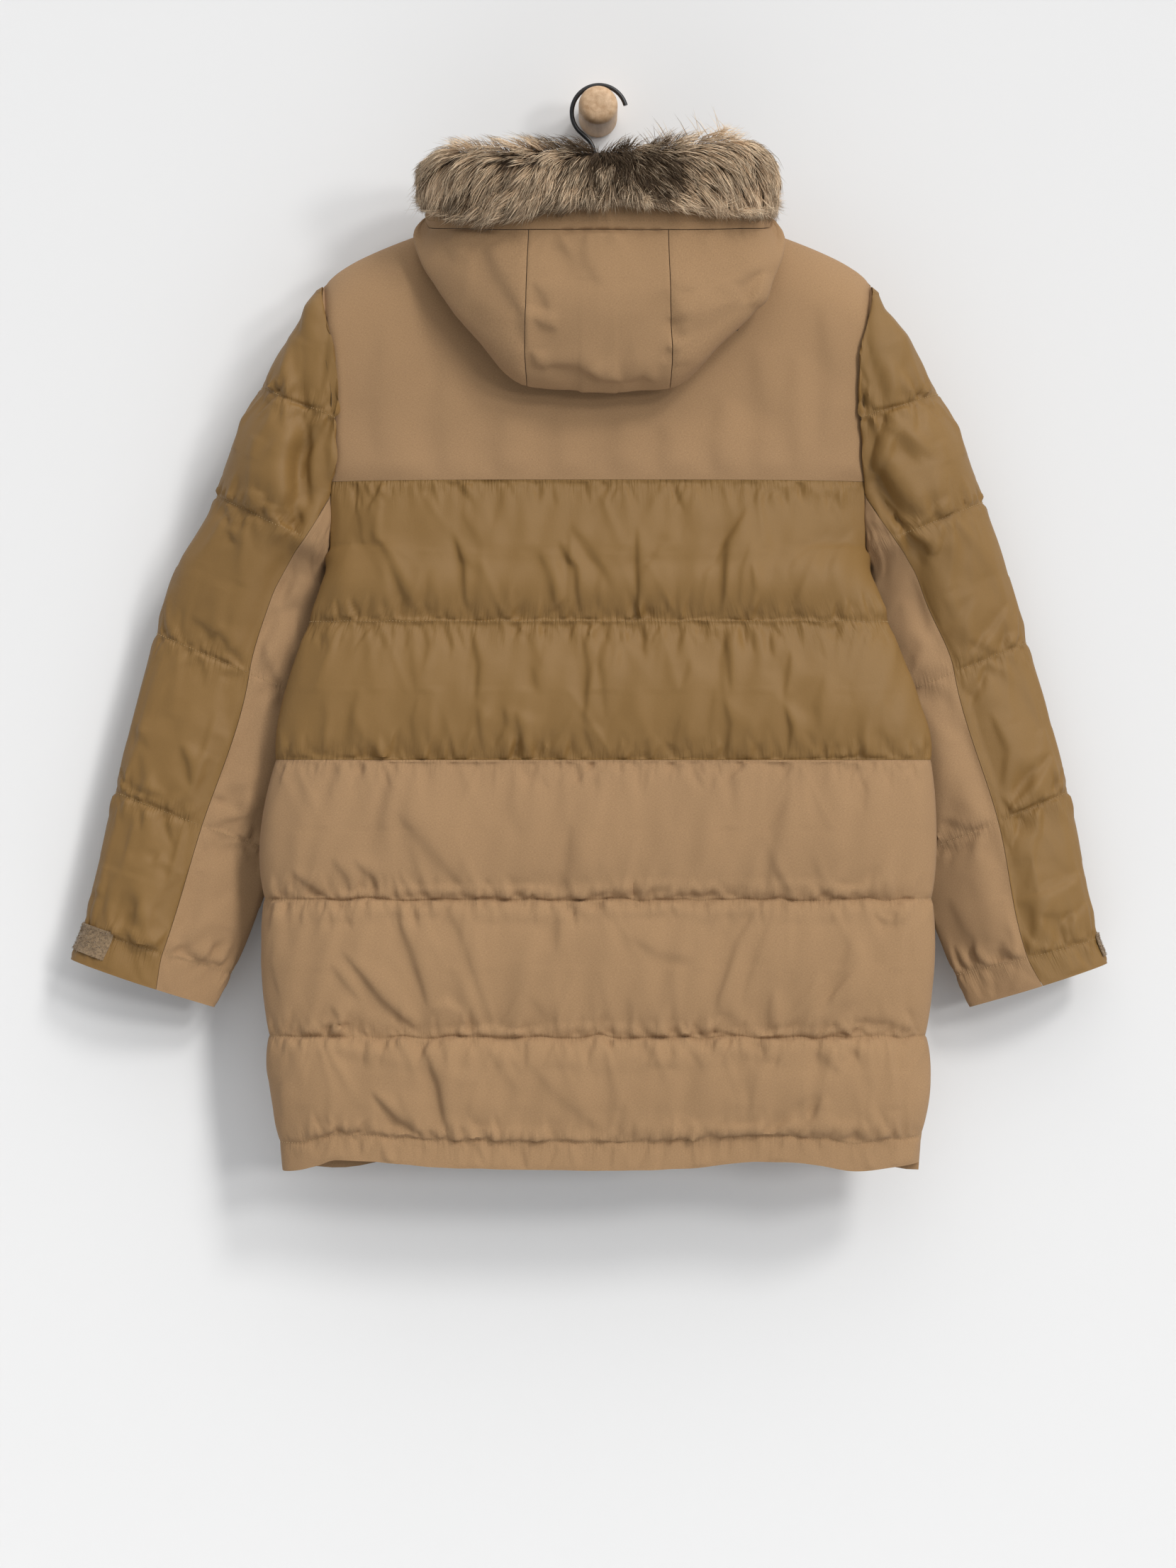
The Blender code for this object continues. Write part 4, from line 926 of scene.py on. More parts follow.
back_share = bowed(161)
half_share = ZIP_HALF / 270 + (1 - ZIP_HALF / 270) * (1 - (1 - np.linspace(0, 1, 41)) ** 1.15)
middle_rows, lower_rows = BODY_LINES[:3], BODY_LINES[2:6] + (HEM_DROP,)
body_shell("back_middle", -1, back_share, between(middle_rows), MIDDLE_CREASES, BACK_LOFT, 11)
body_shell("back_lower", -1, back_share, between(lower_rows), LOWER_CREASES, BACK_LOFT, 12)
for side, sign in (("left", -1), ("right", 1)):
    body_shell("front_middle_" + side, 1, sign * half_share, between(middle_rows, 8.5),
               elsewhere(MIDDLE_CREASES, 21), FRONT_LOFT, 23 + sign)
    body_shell("front_lower_" + side, 1, sign * half_share, between(lower_rows, 8.5),
               elsewhere(LOWER_CREASES, 22), FRONT_LOFT, 26 + sign)
print("body grids:", {name: shell["outer"].shape[:2] for name, shell in shells.items()})

# %% [markdown]
# ## The sleeves
#
# Each sleeve is a flattened tube that grows out of the armhole.  The olive upper sleeve
# goes all round at the shoulder and gives way to the tan under sleeve on the inner side.
# A point is read by its angle round the tube and its distance down the outer edge.

# %% Sleeve sections


def sleeve_reach(side, s):
    """Angle round the sleeve, from its outer edge, at which it meets the armhole."""
    deep = read(SLEEVES[side], "deep", s)
    gap = armhole_gap(read(SLEEVES[side], "in_drop", s))
    open_ = math.pi - np.arcsin(np.clip(gap / deep, 0, 1))
    return np.where(np.asarray(s) < SLEEVE_LINES[2], open_, math.pi)


def sleeve_seam(side, s):
    """Angle at which the upper sleeve meets the under sleeve or the armhole."""
    reach = sleeve_reach(side, s)
    share = read(SLEEVES[side], "seam", s)
    level = 1 - share * (1 - np.cos(reach))
    return np.where(share >= 1, reach, np.arccos(np.clip(level, -1, 1)))


def sleeve_point(side, angle, s):
    tab = SLEEVES[side]
    reach = sleeve_reach(side, s)
    out = (np.cos(angle) - np.cos(reach)) / (1 - np.cos(reach))
    x, drop, middle = (read(tab, "in_" + part, s)
                       + (read(tab, "out_" + part, s) - read(tab, "in_" + part, s)) * out
                       for part in ("x", "drop", "y"))
    lean = ease((s - SLEEVE_LINES[2]) / 40)
    narrow = 1 - lean * 0.5 * (1 - ease(out / 0.55))
    y = middle - read(tab, "deep", s) * np.sin(angle) * narrow
    return np.stack([x if side == "right" else -x, y, -drop], axis=-1)


def sleeve_rise(side, angle, s):
    """How full the padding is: most on the faces, flat at the seams and the cuff."""
    rise = baffle(s, SLEEVE_LINES + (SLEEVE_END + 27,))[0]
    rise *= 0.14 + 0.86 * np.sin(angle) ** 2
    rise *= 1 - 0.8 * np.exp(-((s - 250) / 60) ** 2) * ease((np.abs(angle) - 1.3) / 0.9)
    rise *= np.where(s > SLEEVE_LINES[5], 0.12, 1) * (1 - 0.7 * np.exp(-s / 25))
    from_seam = (np.abs(angle) - sleeve_seam(side, s)) / 0.22
    return rise * (1 - 0.85 * np.exp(-from_seam ** 2) * ease((s - 170) / 20))


def sleeve_grids(side, angle, s, dents=0.0, folds=0.0):
    sign = 1 if side == "right" else -1
    inside = sleeve_point(side, angle, s)
    u = sleeve_point(side, angle + 0.01, s) - sleeve_point(side, angle - 0.01, s)
    v = (sleeve_point(side, angle, np.minimum(s + 1.0, SLEEVE_END))
         - sleeve_point(side, angle, np.maximum(s - 1.0, 0.0)))
    normal = unit(np.cross(u, v) * sign)
    at_hole = (np.abs(angle) > sleeve_reach(side, s) - 0.01) & (s < SLEEVE_LINES[2] - 0.5)
    at_hole |= s < 0.5
    normal[at_hole, 0] = 0
    normal = unit(normal)
    crotch = (np.abs(angle) > math.pi - 0.02) & (np.abs(s - SLEEVE_LINES[2]) < 1)
    normal[crotch] = (0.35 * sign, 0, -0.94)
    rise = sleeve_rise(side, angle, s)
    thick = SHELL - 0.8 * ease(s / 60) + SLEEVE_LOFT * rise + 3 * np.exp(-s / 20)
    outside = inside + normal * (thick + dents * np.minimum(rise * 3, 1) + folds)[..., None]
    for grid in (inside, outside):
        limit = half_width(side, -grid[..., 2]) + 0.15
        hole = at_hole | ((s < SLEEVE_LINES[2] - 0.5) & (grid[..., 0] * sign < limit))
        grid[hole, 0] = sign * limit[hole]
    return inside, outside, rise


def puff_over(side, angle, s, grid, above):
    """Let the sleeve head puff over the edge of the yoke, on the side seen from behind."""
    sign = 1 if side == "right" else -1
    share = angle / sleeve_reach(side, s)
    lean = ease((share - 0.55) / 0.3) * (1 - ease((share - 0.93) / 0.07))
    lean *= np.exp(-((s - 95) / 62) ** 2) * ease(s / 30) * ease((188 - s) / 30)
    x = grid[..., 0] - sign * 11 * lean
    cover = np.minimum(lean * 1.6, 1)
    edge_y = yoke_skin_y(x, -grid[..., 2]) - above
    y = np.where(cover > 0, grid[..., 1] * (1 - cover) + np.minimum(edge_y, grid[..., 1]) * cover,
                 grid[..., 1])
    return np.stack([x, y, grid[..., 2]], -1)


def armhole_row(side, share):
    """Distance s at which a line of the under sleeve leaves the armhole."""
    low, high = 150.0, SLEEVE_LINES[2]
    for _ in range(30):
        s = (low + high) / 2
        seam = float(sleeve_seam(side, s))
        angle = seam + (1 - abs(share)) * (math.pi - seam)
        low, high = (s, high) if angle > float(sleeve_reach(side, s)) - 1e-4 else (low, s)
    return high


LEFT_CREASES = (
    (-256, 202, -270, 235, -282, 305, 6, 2.4), (-252, 226, -258, 268, -268, 310, 6, 2.0),
    (-277, 188, -300, 230, -305, 291, 9, 1.8), (-282, 202, -291, 235, -293, 282, 6, 2.2),
    (-284, 310, -282, 352, -280, 398, 6, 3.2), (-266, 310, -270, 338, -263, 380, 6, 2.6),
    (-373, 385, -363, 397, -358, 416, 5, 2.6), (-312, 400, -305, 408, -299, 415, 5, 1.6),
    (-297, 390, -290, 409, -285, 431, 8, 2.6), (-327, 386, -320, 395, -312, 405, 7, 1.2),
    (-360, 418, -356, 426, -352, 433, 4, 1.8), (-297, 439, -301, 466, -314, 496, 7, 2.6),
    (-314, 496, -327, 527, -339, 557, 7, 2.2), (-400, 504, -384, 515, -371, 523, 6, 1.4),
    (-373, 515, -362, 534, -346, 551, 6, 1.6), (-411, 439, -415, 470, -426, 496, 14, 1.0),
    (-373, 561, -363, 558, -353, 562, 5, 2.0), (-411, 628, -403, 649, -400, 673, 6, 2.2),
    (-457, 607, -449, 622, -440, 635, 7, 1.2), (-377, 595, -384, 622, -391, 649, 8, 1.4),
    (-461, 671, -443, 676, -426, 681, 4, 1.6), (-400, 588, -411, 607, -415, 626, 12, 0.9),
    (-430, 734, -435, 742, -439, 748, 4, 1.2), (-497, 773, -492, 777, -486, 780, 4, 1.0),
    (-489, 813, -464, 827, -434, 842, 6, 3.2), (-468, 814, -453, 824, -439, 831, 5, 1.8),
    (-472, 683, -461, 709, -464, 736, 12, 1.0), (-411, 709, -419, 744, -426, 774, 8, 1.4),
    (-449, 782, -457, 797, -453, 812, 8, 1.2), (-384, 676, -375, 681, -368, 685, 5, 2.0),
    (-346, 671, -353, 685, -355, 700, 8, 2.0), (-358, 770, -388, 797, -419, 820, 12, 1.2),
    (-411, 836, -392, 841, -362, 850, 4, 1.4), (-327, 572, -335, 610, -346, 649, 12, 1.0),
    (-282, 431, -293, 458, -312, 492, 10, 1.6), (-362, 709, -358, 732, -365, 755, 12, 1.0),
    (-275, 330, -287, 352, -293, 385, 8, 2.6), (-282, 300, -300, 325, -322, 345, 9, 1.6))
RIGHT_CREASES = (
    (249, 221, 260, 249, 276, 282, 7, 3.2), (283, 226, 295, 254, 308, 286, 8, 2.2),
    (274, 207, 283, 235, 290, 263, 7, 2.0), (262, 260, 270, 290, 272, 318, 6, 2.4),
    (266, 372, 286, 349, 295, 321, 7, 2.8), (272, 381, 292, 405, 303, 416, 6, 3.6),
    (282, 311, 298, 337, 315, 358, 6, 1.8), (294, 324, 310, 341, 325, 354, 5, 1.4),
    (323, 313, 333, 341, 343, 370, 12, 1.0), (339, 386, 331, 395, 319, 407, 5, 1.6),
    (302, 422, 318, 430, 325, 444, 5, 3.2), (308, 456, 325, 497, 343, 551, 8, 2.4),
    (404, 488, 388, 517, 360, 546, 5, 1.8), (369, 483, 355, 505, 339, 518, 7, 1.4),
    (325, 425, 325, 433, 326, 443, 4, 1.6), (376, 423, 384, 460, 393, 492, 14, 1.0),
    (364, 423, 360, 452, 364, 472, 9, 1.0), (417, 517, 404, 525, 392, 539, 5, 1.4),
    (382, 558, 375, 578, 364, 599, 6, 1.8), (446, 639, 430, 666, 401, 698, 6, 3.0),
    (385, 598, 401, 636, 397, 676, 8, 1.8), (433, 652, 421, 668, 409, 680, 5, 1.4),
    (417, 550, 425, 582, 433, 611, 12, 1.0), (353, 560, 360, 574, 372, 582, 5, 1.6),
    (394, 702, 413, 698, 431, 688, 6, 2.4), (392, 709, 405, 732, 400, 751, 7, 2.4),
    (476, 758, 445, 774, 413, 783, 5, 1.4), (483, 783, 470, 797, 454, 812, 5, 1.4),
    (437, 713, 445, 738, 462, 758, 10, 1.0), (425, 795, 454, 799, 480, 789, 6, 1.0),
    (281, 405, 284, 416, 289, 426, 5, 2.6), (266, 411, 278, 419, 290, 431, 7, 1.8),
    (308, 517, 319, 537, 315, 558, 9, 1.2), (327, 615, 335, 648, 331, 676, 12, 1.2),
    (339, 713, 351, 725, 364, 730, 6, 1.4), (347, 779, 364, 815, 392, 836, 12, 1.2),
    (364, 832, 376, 840, 388, 848, 5, 1.2))
SLEEVE_CREASES = {"left": LEFT_CREASES, "right": RIGHT_CREASES}
# Deep folds where the sleeve head sinks in beside the body.
DEEP_FOLDS = {
    "left": ((-297, 440, -288, 330, -284, 205, 15, 15), (-286, 432, -305, 408, -338, 372, 7, 5)),
    "right": ((257, 212, 279, 295, 268, 362, 13, 13), (262, 350, 284, 385, 308, 414, 12, 12),
              (290, 402, 301, 426, 320, 455, 9, 7))}


def sleeve_dents(side, angle, s, *parts):
    """Creases of a sleeve: as drawn on the back, moved a little on the front."""
    at = sleeve_point(side, angle, s)
    place = at[..., 0], -at[..., 2]
    back = creases(*place, SLEEVE_CREASES[side], *parts)
    front = creases(*place, elsewhere(SLEEVE_CREASES[side], 31, flip=1), *parts)
    return np.where(at[..., 1] < read(SLEEVES[side], "out_y", s), back, front)


def sleeve_folds(side, angle, s):
    at = sleeve_point(side, angle, s)
    behind = ease((read(SLEEVES[side], "out_y", s) - at[..., 1]) / 12)
    inside = ease((1 - np.abs(angle) / sleeve_seam(side, s)) * 7)
    return valleys(at[..., 0], -at[..., 2], DEEP_FOLDS[side]) * behind * inside


JUNCTION = 190.0
sleeve_rows = between(SLEEVE_LINES + (SLEEVE_END,), 6.0)
for side in ("left", "right"):
    nudge = 0.2 if side == "right" else -0.2
    upper_rows = np.unique(np.append(sleeve_rows, JUNCTION))
    share, s = np.meshgrid(bowed(51), upper_rows)
    angle = sleeve_seam(side, s) * share
    inside, outside, rise = sleeve_grids(side, angle, s, sleeve_dents(side, angle, s, 0.8, 0),
                                         sleeve_folds(side, angle, s))
    inside, outside = (puff_over(side, angle, s, grid, above)
                       for grid, above in ((inside, 1.2), (outside, 5.0)))
    draw_back((inside, outside), ("top", "first", "last"), 0.22)
    for grid in (inside, outside):
        grid[..., 0] += nudge
        for row in np.flatnonzero((upper_rows > 189) & (upper_rows < 216)):
            for edge, following in ((0, 1), (-1, -2)):
                grid[row, edge] += 0.6 * unit(grid[row, following] - grid[row, edge])
    pin = np.zeros(s.shape, bool)
    pin[[0, -1]] = pin[:, [0, -1]] = True
    pin |= np.isin(s, SLEEVE_LINES) | (s > SLEEVE_LINES[5]) | (s < 12)
    shells["sleeve_upper_" + side] = dict(outer=outside, inner=inside, pin=pin, s=s, rise=rise,
                                          angle=angle, side=side, seed=41)

    share = bowed(33)
    starts = np.array([JUNCTION if abs(c) == 1 else armhole_row(side, c) for c in share])
    starts[len(share) // 2] = SLEEVE_LINES[2]
    upper = np.array([starts + (385 - starts) * r for r in np.linspace(0, 1, 30)[:-1]])
    rest = sleeve_rows[sleeve_rows >= 384.9]
    s = np.concatenate([upper, np.repeat(rest[:, None], len(share), axis=1)])
    seam = sleeve_seam(side, s)
    share = np.broadcast_to(share, s.shape)
    angle = np.where(share < 0, seam + (1 + share) * (math.pi - seam),
                     2 * math.pi - seam - (1 - share) * (math.pi - seam))
    angle = np.where(share <= 0, angle, angle - 2 * math.pi)
    angle = np.where(share == 0, math.pi, angle)
    inside, outside, rise = sleeve_grids(side, angle, s, sleeve_dents(side, angle, s, 1.1, 0))
    draw_back((inside, outside), ("top", "first", "last"), 0.22)
    for grid in (inside, outside):
        grid[..., 0] += nudge
        for corner in (0, -1):
            grid[0, corner] += 3.0 * unit(grid[1, corner] - grid[0, corner])
    pin = np.zeros(s.shape, bool)
    pin[[0, -1]] = pin[:, [0, -1]] = True
    pin |= np.isin(s, SLEEVE_LINES) | (s > SLEEVE_LINES[5])
    shells["sleeve_under_" + side] = dict(outer=outside, inner=inside, pin=pin, s=s, rise=rise,
                                          angle=angle, side=side, seed=43)
print("sleeve grids:", [shells[n]["outer"].shape[:2] for n in shells if "sleeve" in n])

# %% Settle everything that is padded
body = [shell for name, shell in shells.items() if "sleeve" not in name]
arms = [shell for name, shell in shells.items() if "sleeve" in name]
for group, spare in ((body, (1.025, 1.0, 1.015)), (arms, (1.03, 1.03, 1.03))):
    for shell, settled in zip(group, settle(group, spare)):
        if "share" in shell:
            calm = 0.8 * ease((1 - np.abs(shell["share"])) * 3.5)
        else:
            calm = 0.25 + 0.6 * np.sin(shell["angle"]) ** 2 * ease(shell["s"] / 200 - 1)
        shell["outer"] += (settled - shell["outer"]) * calm[..., None]

# %% [markdown]
# ## Fine detail on the settled cloth
#
# The grids are made twice as fine, and then get what Cloth is too coarse for: the sharp
# part of each crease and the puckers at the thread.  Both fade out at the seams, so the
# pieces still meet.

# %% Finish the quilted walls


def near_lines(at, lines, reach=9.0):
    """1 on a line of stitching, fading with the distance from it."""
    gap = np.min([np.abs(at - line) for line in lines], axis=0)
    return np.exp(-gap / reach)


def line_puckers(at, lines, along, seed, high):
    total = np.zeros(at.shape)
    for i, line in enumerate(lines):
        total += puckers(along, at - line, seed * 100 + i, high=high)
    return total


def keep_below(outer, inner, least=1.8):
    """Push the lining away where a deep crease comes too near to it."""
    way = grid_normals(inner)
    way *= np.sign((way * (outer - inner)).sum(axis=-1, keepdims=True).mean())
    room = ((outer - inner) * way).sum(axis=-1)
    push = np.maximum(least - room, 0)
    for axis in (0, 1) * 4:
        push = np.maximum(push, np.maximum(np.roll(push, 1, axis), np.roll(push, -1, axis)))
    push[[0, -1]] = 0
    push[:, [0, -1]] = 0
    return inner - way * push[..., None]


def detailed(shell, dents, small, at, lines):
    """Outer and inner grids at twice the resolution, with the fine detail added; it stops
    short of the lines of stitching and of the seams."""
    outer, inner = finer(shell["outer"]), finer(shell["inner"])
    normal = grid_normals(outer)
    normal *= np.sign((normal * (outer - inner)).sum(axis=-1, keepdims=True).mean())
    mask = ease(np.min([np.abs(at - line) for line in lines], axis=0) / 5)
    mask *= np.minimum(0.35 + finer(shell["rise"][..., None])[..., 0] * 4, 1)
    for axis in (0, 1):
        edge = np.minimum(np.arange(mask.shape[axis]), np.arange(mask.shape[axis])[::-1])
        mask = mask * np.expand_dims(ease(edge / 4), 1 - axis)
    outer = outer + normal * ((dents + small) * mask)[..., None]
    return outer, keep_below(outer, inner)


LINED = {"tan": (TAN, LINING), "olive": (OLIVE, LINING)}
finished = {}


def close_panel(name, colour, outer, inner, at, lines):
    """Wall of a quilted panel, which shows face cloth inside below the last of its lines."""
    piece = wall(name + "_cloth", outer, inner, LINED[colour], at[:, 0] > lines[-1] - 6,
                 near=near_lines(at, lines))
    hang(piece, colour + "_cloth", name)
    finished[name] = dict(outer=outer, at=at)


# How far the hem hangs below (+) or above (-) its level, by x.
HEM_WAVE = np.array(((-330, 3), (-308, 5), (-275, -1), (-256, -7), (-221, -6), (-146, 0),
                     (-70, 1.5), (4, 2.5), (79, 1), (154, -6), (194, -5), (254, 3.5),
                     (300, -1), (330, -6)), float).T
for name, shell in shells.items():
    if "sleeve" in name:
        continue
    drop = finer(shell["drop"][..., None])[..., 0]
    x = finer(shell["outer"])[..., 0]
    high = 1.8 if "middle" in name else 1.6
    short = gathers([line for line in BODY_LINES[:6] if drop.min() <= line <= drop.max()],
                    x.min(), x.max(), shell["seed"] + 60, deep=1.5 if "middle" in name else 1.3)
    outer, inner = detailed(shell, creases(x, drop, shell["creases"], 0, 1.2)
                            + creases(x, drop, short if "back" in name else short[::3], 0.6, 1),
                            line_puckers(drop, BODY_LINES[:6], x, shell["seed"], high),
                            drop, BODY_LINES)
    if "lower" in name:
        sign = 1 if "back" in name else -1
        fall = smooth(sign * outer[..., 0], *HEM_WAVE) * ease((drop - HEM_DROP + 80) / 80)
        for grid in (outer, inner):
            grid[..., 2] -= fall
    close_panel(name, "olive" if "middle" in name else "tan", outer, inner, drop,
                BODY_LINES[:6])
for name, shell in shells.items():
    if "sleeve" not in name:
        continue
    s = finer(shell["s"][..., None])[..., 0]
    angle, side = finer(shell["angle"][..., None])[..., 0], shell["side"]
    if "under" in name:
        angle = np.where(np.abs(np.gradient(angle, axis=1)) > 1, math.pi, angle)
    around = angle * 60
    short = gathers(SLEEVE_LINES[1:], around.min(), around.max(), shell["seed"] + 60, deep=1.8)
    outer, inner = detailed(shell, sleeve_dents(side, angle, s, 0, 1.6)
                            + creases(around, s, short, 0.6, 1),
                            line_puckers(s, SLEEVE_LINES[1:], around, shell["seed"], 2.2),
                            s, SLEEVE_LINES + (SLEEVE_END,))
    close_panel(name, "olive" if "upper" in name else "tan", outer, inner, s,
                SLEEVE_LINES[1:])
print("quilted pieces:", len(finished))

# %% Yokes
for name, facing, share in (("back_yoke", -1, bowed(171)), ("front_yoke_left", 1, -half_share),
                            ("front_yoke_right", 1, half_share)):
    share, down = np.meshgrid(share, np.linspace(0, 1, 73) ** 1.1)
    surface = yoke_surface(facing)
    inner = surface(share, down)
    x, drop, edge_drop = yoke_place(share, down, BACK_DIP if facing < 0 else FRONT_DIP)
    normal = panel_normals(inner, share, edge_drop, facing)
    normal[0] = (0, 0, 1)
    rows = YOKE_CREASES if facing < 0 else elsewhere(YOKE_CREASES, 51, 1)
    edge = np.minimum(1 - down, (1 - np.abs(share)) * 2) * 12
    thick = SHELL - 0.7 + (YOKE_WALL - SHELL + 0.7) * ease(edge) ** 0.5
    thick = np.where(down <= 0, YOKE_WALL, thick)
    dents = 3.6 * creases(x, drop, rows, 1, 0.2) * ease(down * 6) * ease((1 - down) * 14 + 0.25)
    dents += 0.7 * uneven(x + 0.1 * drop, 53, 5, 170.0) * ease((down - 0.4) * 2) * ease(
        (1 - down) * 14)
    dents += puckers(x, YOKE_DROP - drop, 52, 22.0, 0.35, 16.0) * ease(down * 3)
    dents *= ease((1 - np.abs(share)) * 16)
    outer = meet_armhole(inner + normal * (thick + dents)[..., None], share, edge_drop)
    draw_back((inner, outer), ("top", "bottom", "first", "last"), 0.1)
    piece = wall(name + "_cloth", outer, inner, LINED["tan"])
    hang(piece, "tan_cloth", name)
print("yokes done")

# %% [markdown]
# ## The hood and the collar
#
# The hood hangs as a deep pocket: cloth runs from the neck down, turns at the bottom and
# comes back up to the rim.  Three panels and a brim are cut from one surface along its
# seams, so they meet exactly.  A hood is thin cloth, so its creases are given one by one.

# %% Hood surface
# The bag of the hood ends and its brim starts at this share of the cloth's length, which
# is about HOOD_RUN from the neck to the rim.  A column of the panels is PITCH_DEGREE wide
# for each degree round the rim.
BRIM_START, BRIM_SHARE, HOOD_RUN, PITCH_DEGREE = 0.85, 0.15, 470, 2.7


def hood_line(at, low_drop):
    """Knots of one line of the hood, from the neck, down and up to the rim."""
    sign, at = (1 if at >= 0 else -1), abs(at)
    rim, low, root = (np.array([sign * float(read(HOOD, part + "_x", at)),
                                float(read(HOOD, part + "_y", at)), 0])
                      for part in ("rim", "low", "root"))
    rim[2] = -float(read(HOOD, "rim_drop", at))
    root[2] = -float(read(HOOD, "root_drop", at))
    low[2] = -low_drop
    outward = rim - root
    outward[0] *= float(ease((at - 8) / 60))
    outward[2] = 0
    outward = unit(outward)
    deep = (rim[2] - low[2]) / 187.0
    up = np.array([0, 0, 1.0])
    brim = min(BRIM_HEIGHT, 0.5 * (rim[2] - low[2]))
    middle = low + 0.6 * (rim - low) + outward * 26 * deep
    middle[2] = low[2] + 0.55 * (rim[2] - low[2] - brim)
    return np.array([root, (root + low) / 2 + outward * 6 * deep,
                     low - outward * 4 * deep + up * 8 * deep, low,
                     low + outward * 16 * deep + up * 6 * deep,
                     low + outward * 34 * deep + up * 30 * deep, middle,
                     rim - up * brim + outward * 2, rim]), outward


def hood_grid(angles, along):
    """Inside of the hood: a column for each angle, a row for each share of its length."""
    grid = np.zeros((len(along), len(angles), 3))
    for i, at in enumerate(angles):
        low = float(read(HOOD, "low_left" if at < 0 else "low_right", abs(at)))
        if abs(at) < 6:
            left, right = (float(read(HOOD, "low_" + part, 0)) for part in ("left", "right"))
            low = (left * (6 - at) + right * (6 + at)) / 12
        knots = hood_line(at, low)[0]
        reach = run_length(knots)
        start = reach[-2] / reach[-1]
        here = np.where(along < BRIM_START, along / BRIM_START * start,
                        start + (along - BRIM_START) / BRIM_SHARE * (1 - start))
        for k in range(3):
            grid[:, i, k] = smooth(here * reach[-1], reach, knots[:, k])
    angle, row = np.meshgrid(angles, along)
    clear = yoke_skin_y(grid[..., 0], -grid[..., 2]) - HOOD_WALL - 0.25
    clear = np.where(-grid[..., 2] > top_drop(grid[..., 0], BACK_DIP) - 4, clear, 0)
    inner_layer = (row < 0.45) & (np.abs(angle) < 92)
    grid[..., 1] = np.where(inner_layer, np.minimum(grid[..., 1], clear), grid[..., 1])
    return grid


HOOD_CREASES = (
    (-62, 124, -30, 129, 0, 126, 4, 2.2), (4, 124, 36, 131, 66, 127, 4, 2.6),
    (-63, 166, -48, 203, -46, 248, 30, 1.4), (-48, 148, -17, 166, 4, 194, 14, 1.8),
    (-64, 187, -53, 203, -48, 216, 8, 1.4), (-63, 222, -53, 230, -39, 234, 7, 1.6),
    (-53, 266, -21, 268, 2, 281, 8, 2.8), (-12, 271, 2, 280, 24, 282, 6, 2.4),
    (24, 282, 42, 277, 56, 282, 7, 2.2), (-65, 252, -62, 264, -48, 271, 6, 2.0),
    (66, 194, 74, 216, 85, 227, 10, 1.8), (66, 222, 76, 227, 83, 243, 7, 2.0),
    (65, 248, 72, 255, 69, 266, 6, 1.6), (90, 194, 88, 216, 101, 234, 22, 1.6),
    (160, 173, 149, 194, 144, 207, 6, 3.0), (67, 187, 78, 194, 101, 196, 8, 1.1),
    (-109, 151, -98, 180, -71, 221, 14, 2.6), (-150, 148, -137, 162, -125, 162, 12, 1.4),
    (-75, 209, -73, 227, -70, 252, 7, 2.0), (-152, 148, -118, 146, -94, 146, 8, 1.4),
    (-125, 203, -103, 227, -75, 252, 26, 1.2), (124, 157, 142, 166, 146, 180, 18, 1.0))

bag_rows = np.concatenate([np.linspace(0, 0.36, 23)[:-1], np.linspace(0.36, 0.56, 45)[:-1],
                           np.linspace(0.56, BRIM_START, 63)])
brim_rows = np.linspace(BRIM_START, 1.0, 11)
centre = np.linspace(-HOOD_SEAM, HOOD_SEAM, 61)
flank = np.linspace(HOOD_SEAM, HOOD_END, 81)
angles = np.concatenate([-flank[:0:-1], centre, flank[1:]])
along = np.concatenate([bag_rows, brim_rows[1:]])
hood_in = hood_grid(angles, along)
hood_out_way = grid_normals(hood_in)
middle = hood_out_way[len(along) * 3 // 4, len(angles) // 2]
hood_out_way *= 1 if middle[1] < 0 else -1
angle, row = np.meshgrid(angles, along)
outer_layer = ease((row - 0.40) / 0.08)
dents = creases(hood_in[..., 0], -hood_in[..., 2], HOOD_CREASES, 1.5, 1.2) * outer_layer
dents *= ease((BRIM_START - row) / 0.014)
seam_gap = np.minimum(np.abs(np.abs(angle) - HOOD_SEAM), 30) * PITCH_DEGREE
ridge = 0.9 * np.exp(-(seam_gap / 4.5) ** 2) + 0.25 * np.exp(-((seam_gap - 9) / 6) ** 2)
to_brim = (BRIM_START - row) * HOOD_RUN
tight = puckers(angle * PITCH_DEGREE, to_brim, 61, 14, 0.7, 5) * (row < BRIM_START)
seamed = ridge * outer_layer - 1.1 * np.exp(-(seam_gap / 1.6) ** 2) * outer_layer
inset = HOOD_WALL * outer_layer * (1 - ease((np.abs(angle) - 60) / 30))
slit = 2.6 * np.exp(-(to_brim / 4) ** 2) * (row < BRIM_START + 0.0001) * ease(
    (hood_in[..., 0] + 48) / 16) * ease((70 - hood_in[..., 0]) / 16)
tight *= 1 + 1.6 * ease((hood_in[..., 0] + 60) / 30) * ease((80 - hood_in[..., 0]) / 30)
seamed = seamed - slit * (0.75 + 0.25 * np.sin(hood_in[..., 0] / 2.7))
hood_out = hood_in + hood_out_way * (HOOD_WALL - inset + dents + seamed
                                     + tight * ease((BRIM_START - row) * 60))[..., None]
hood_lining = keep_below(hood_out, hood_in - hood_out_way * inset[..., None])
print("hood grid:", hood_in.shape[:2], "columns", len(angles))

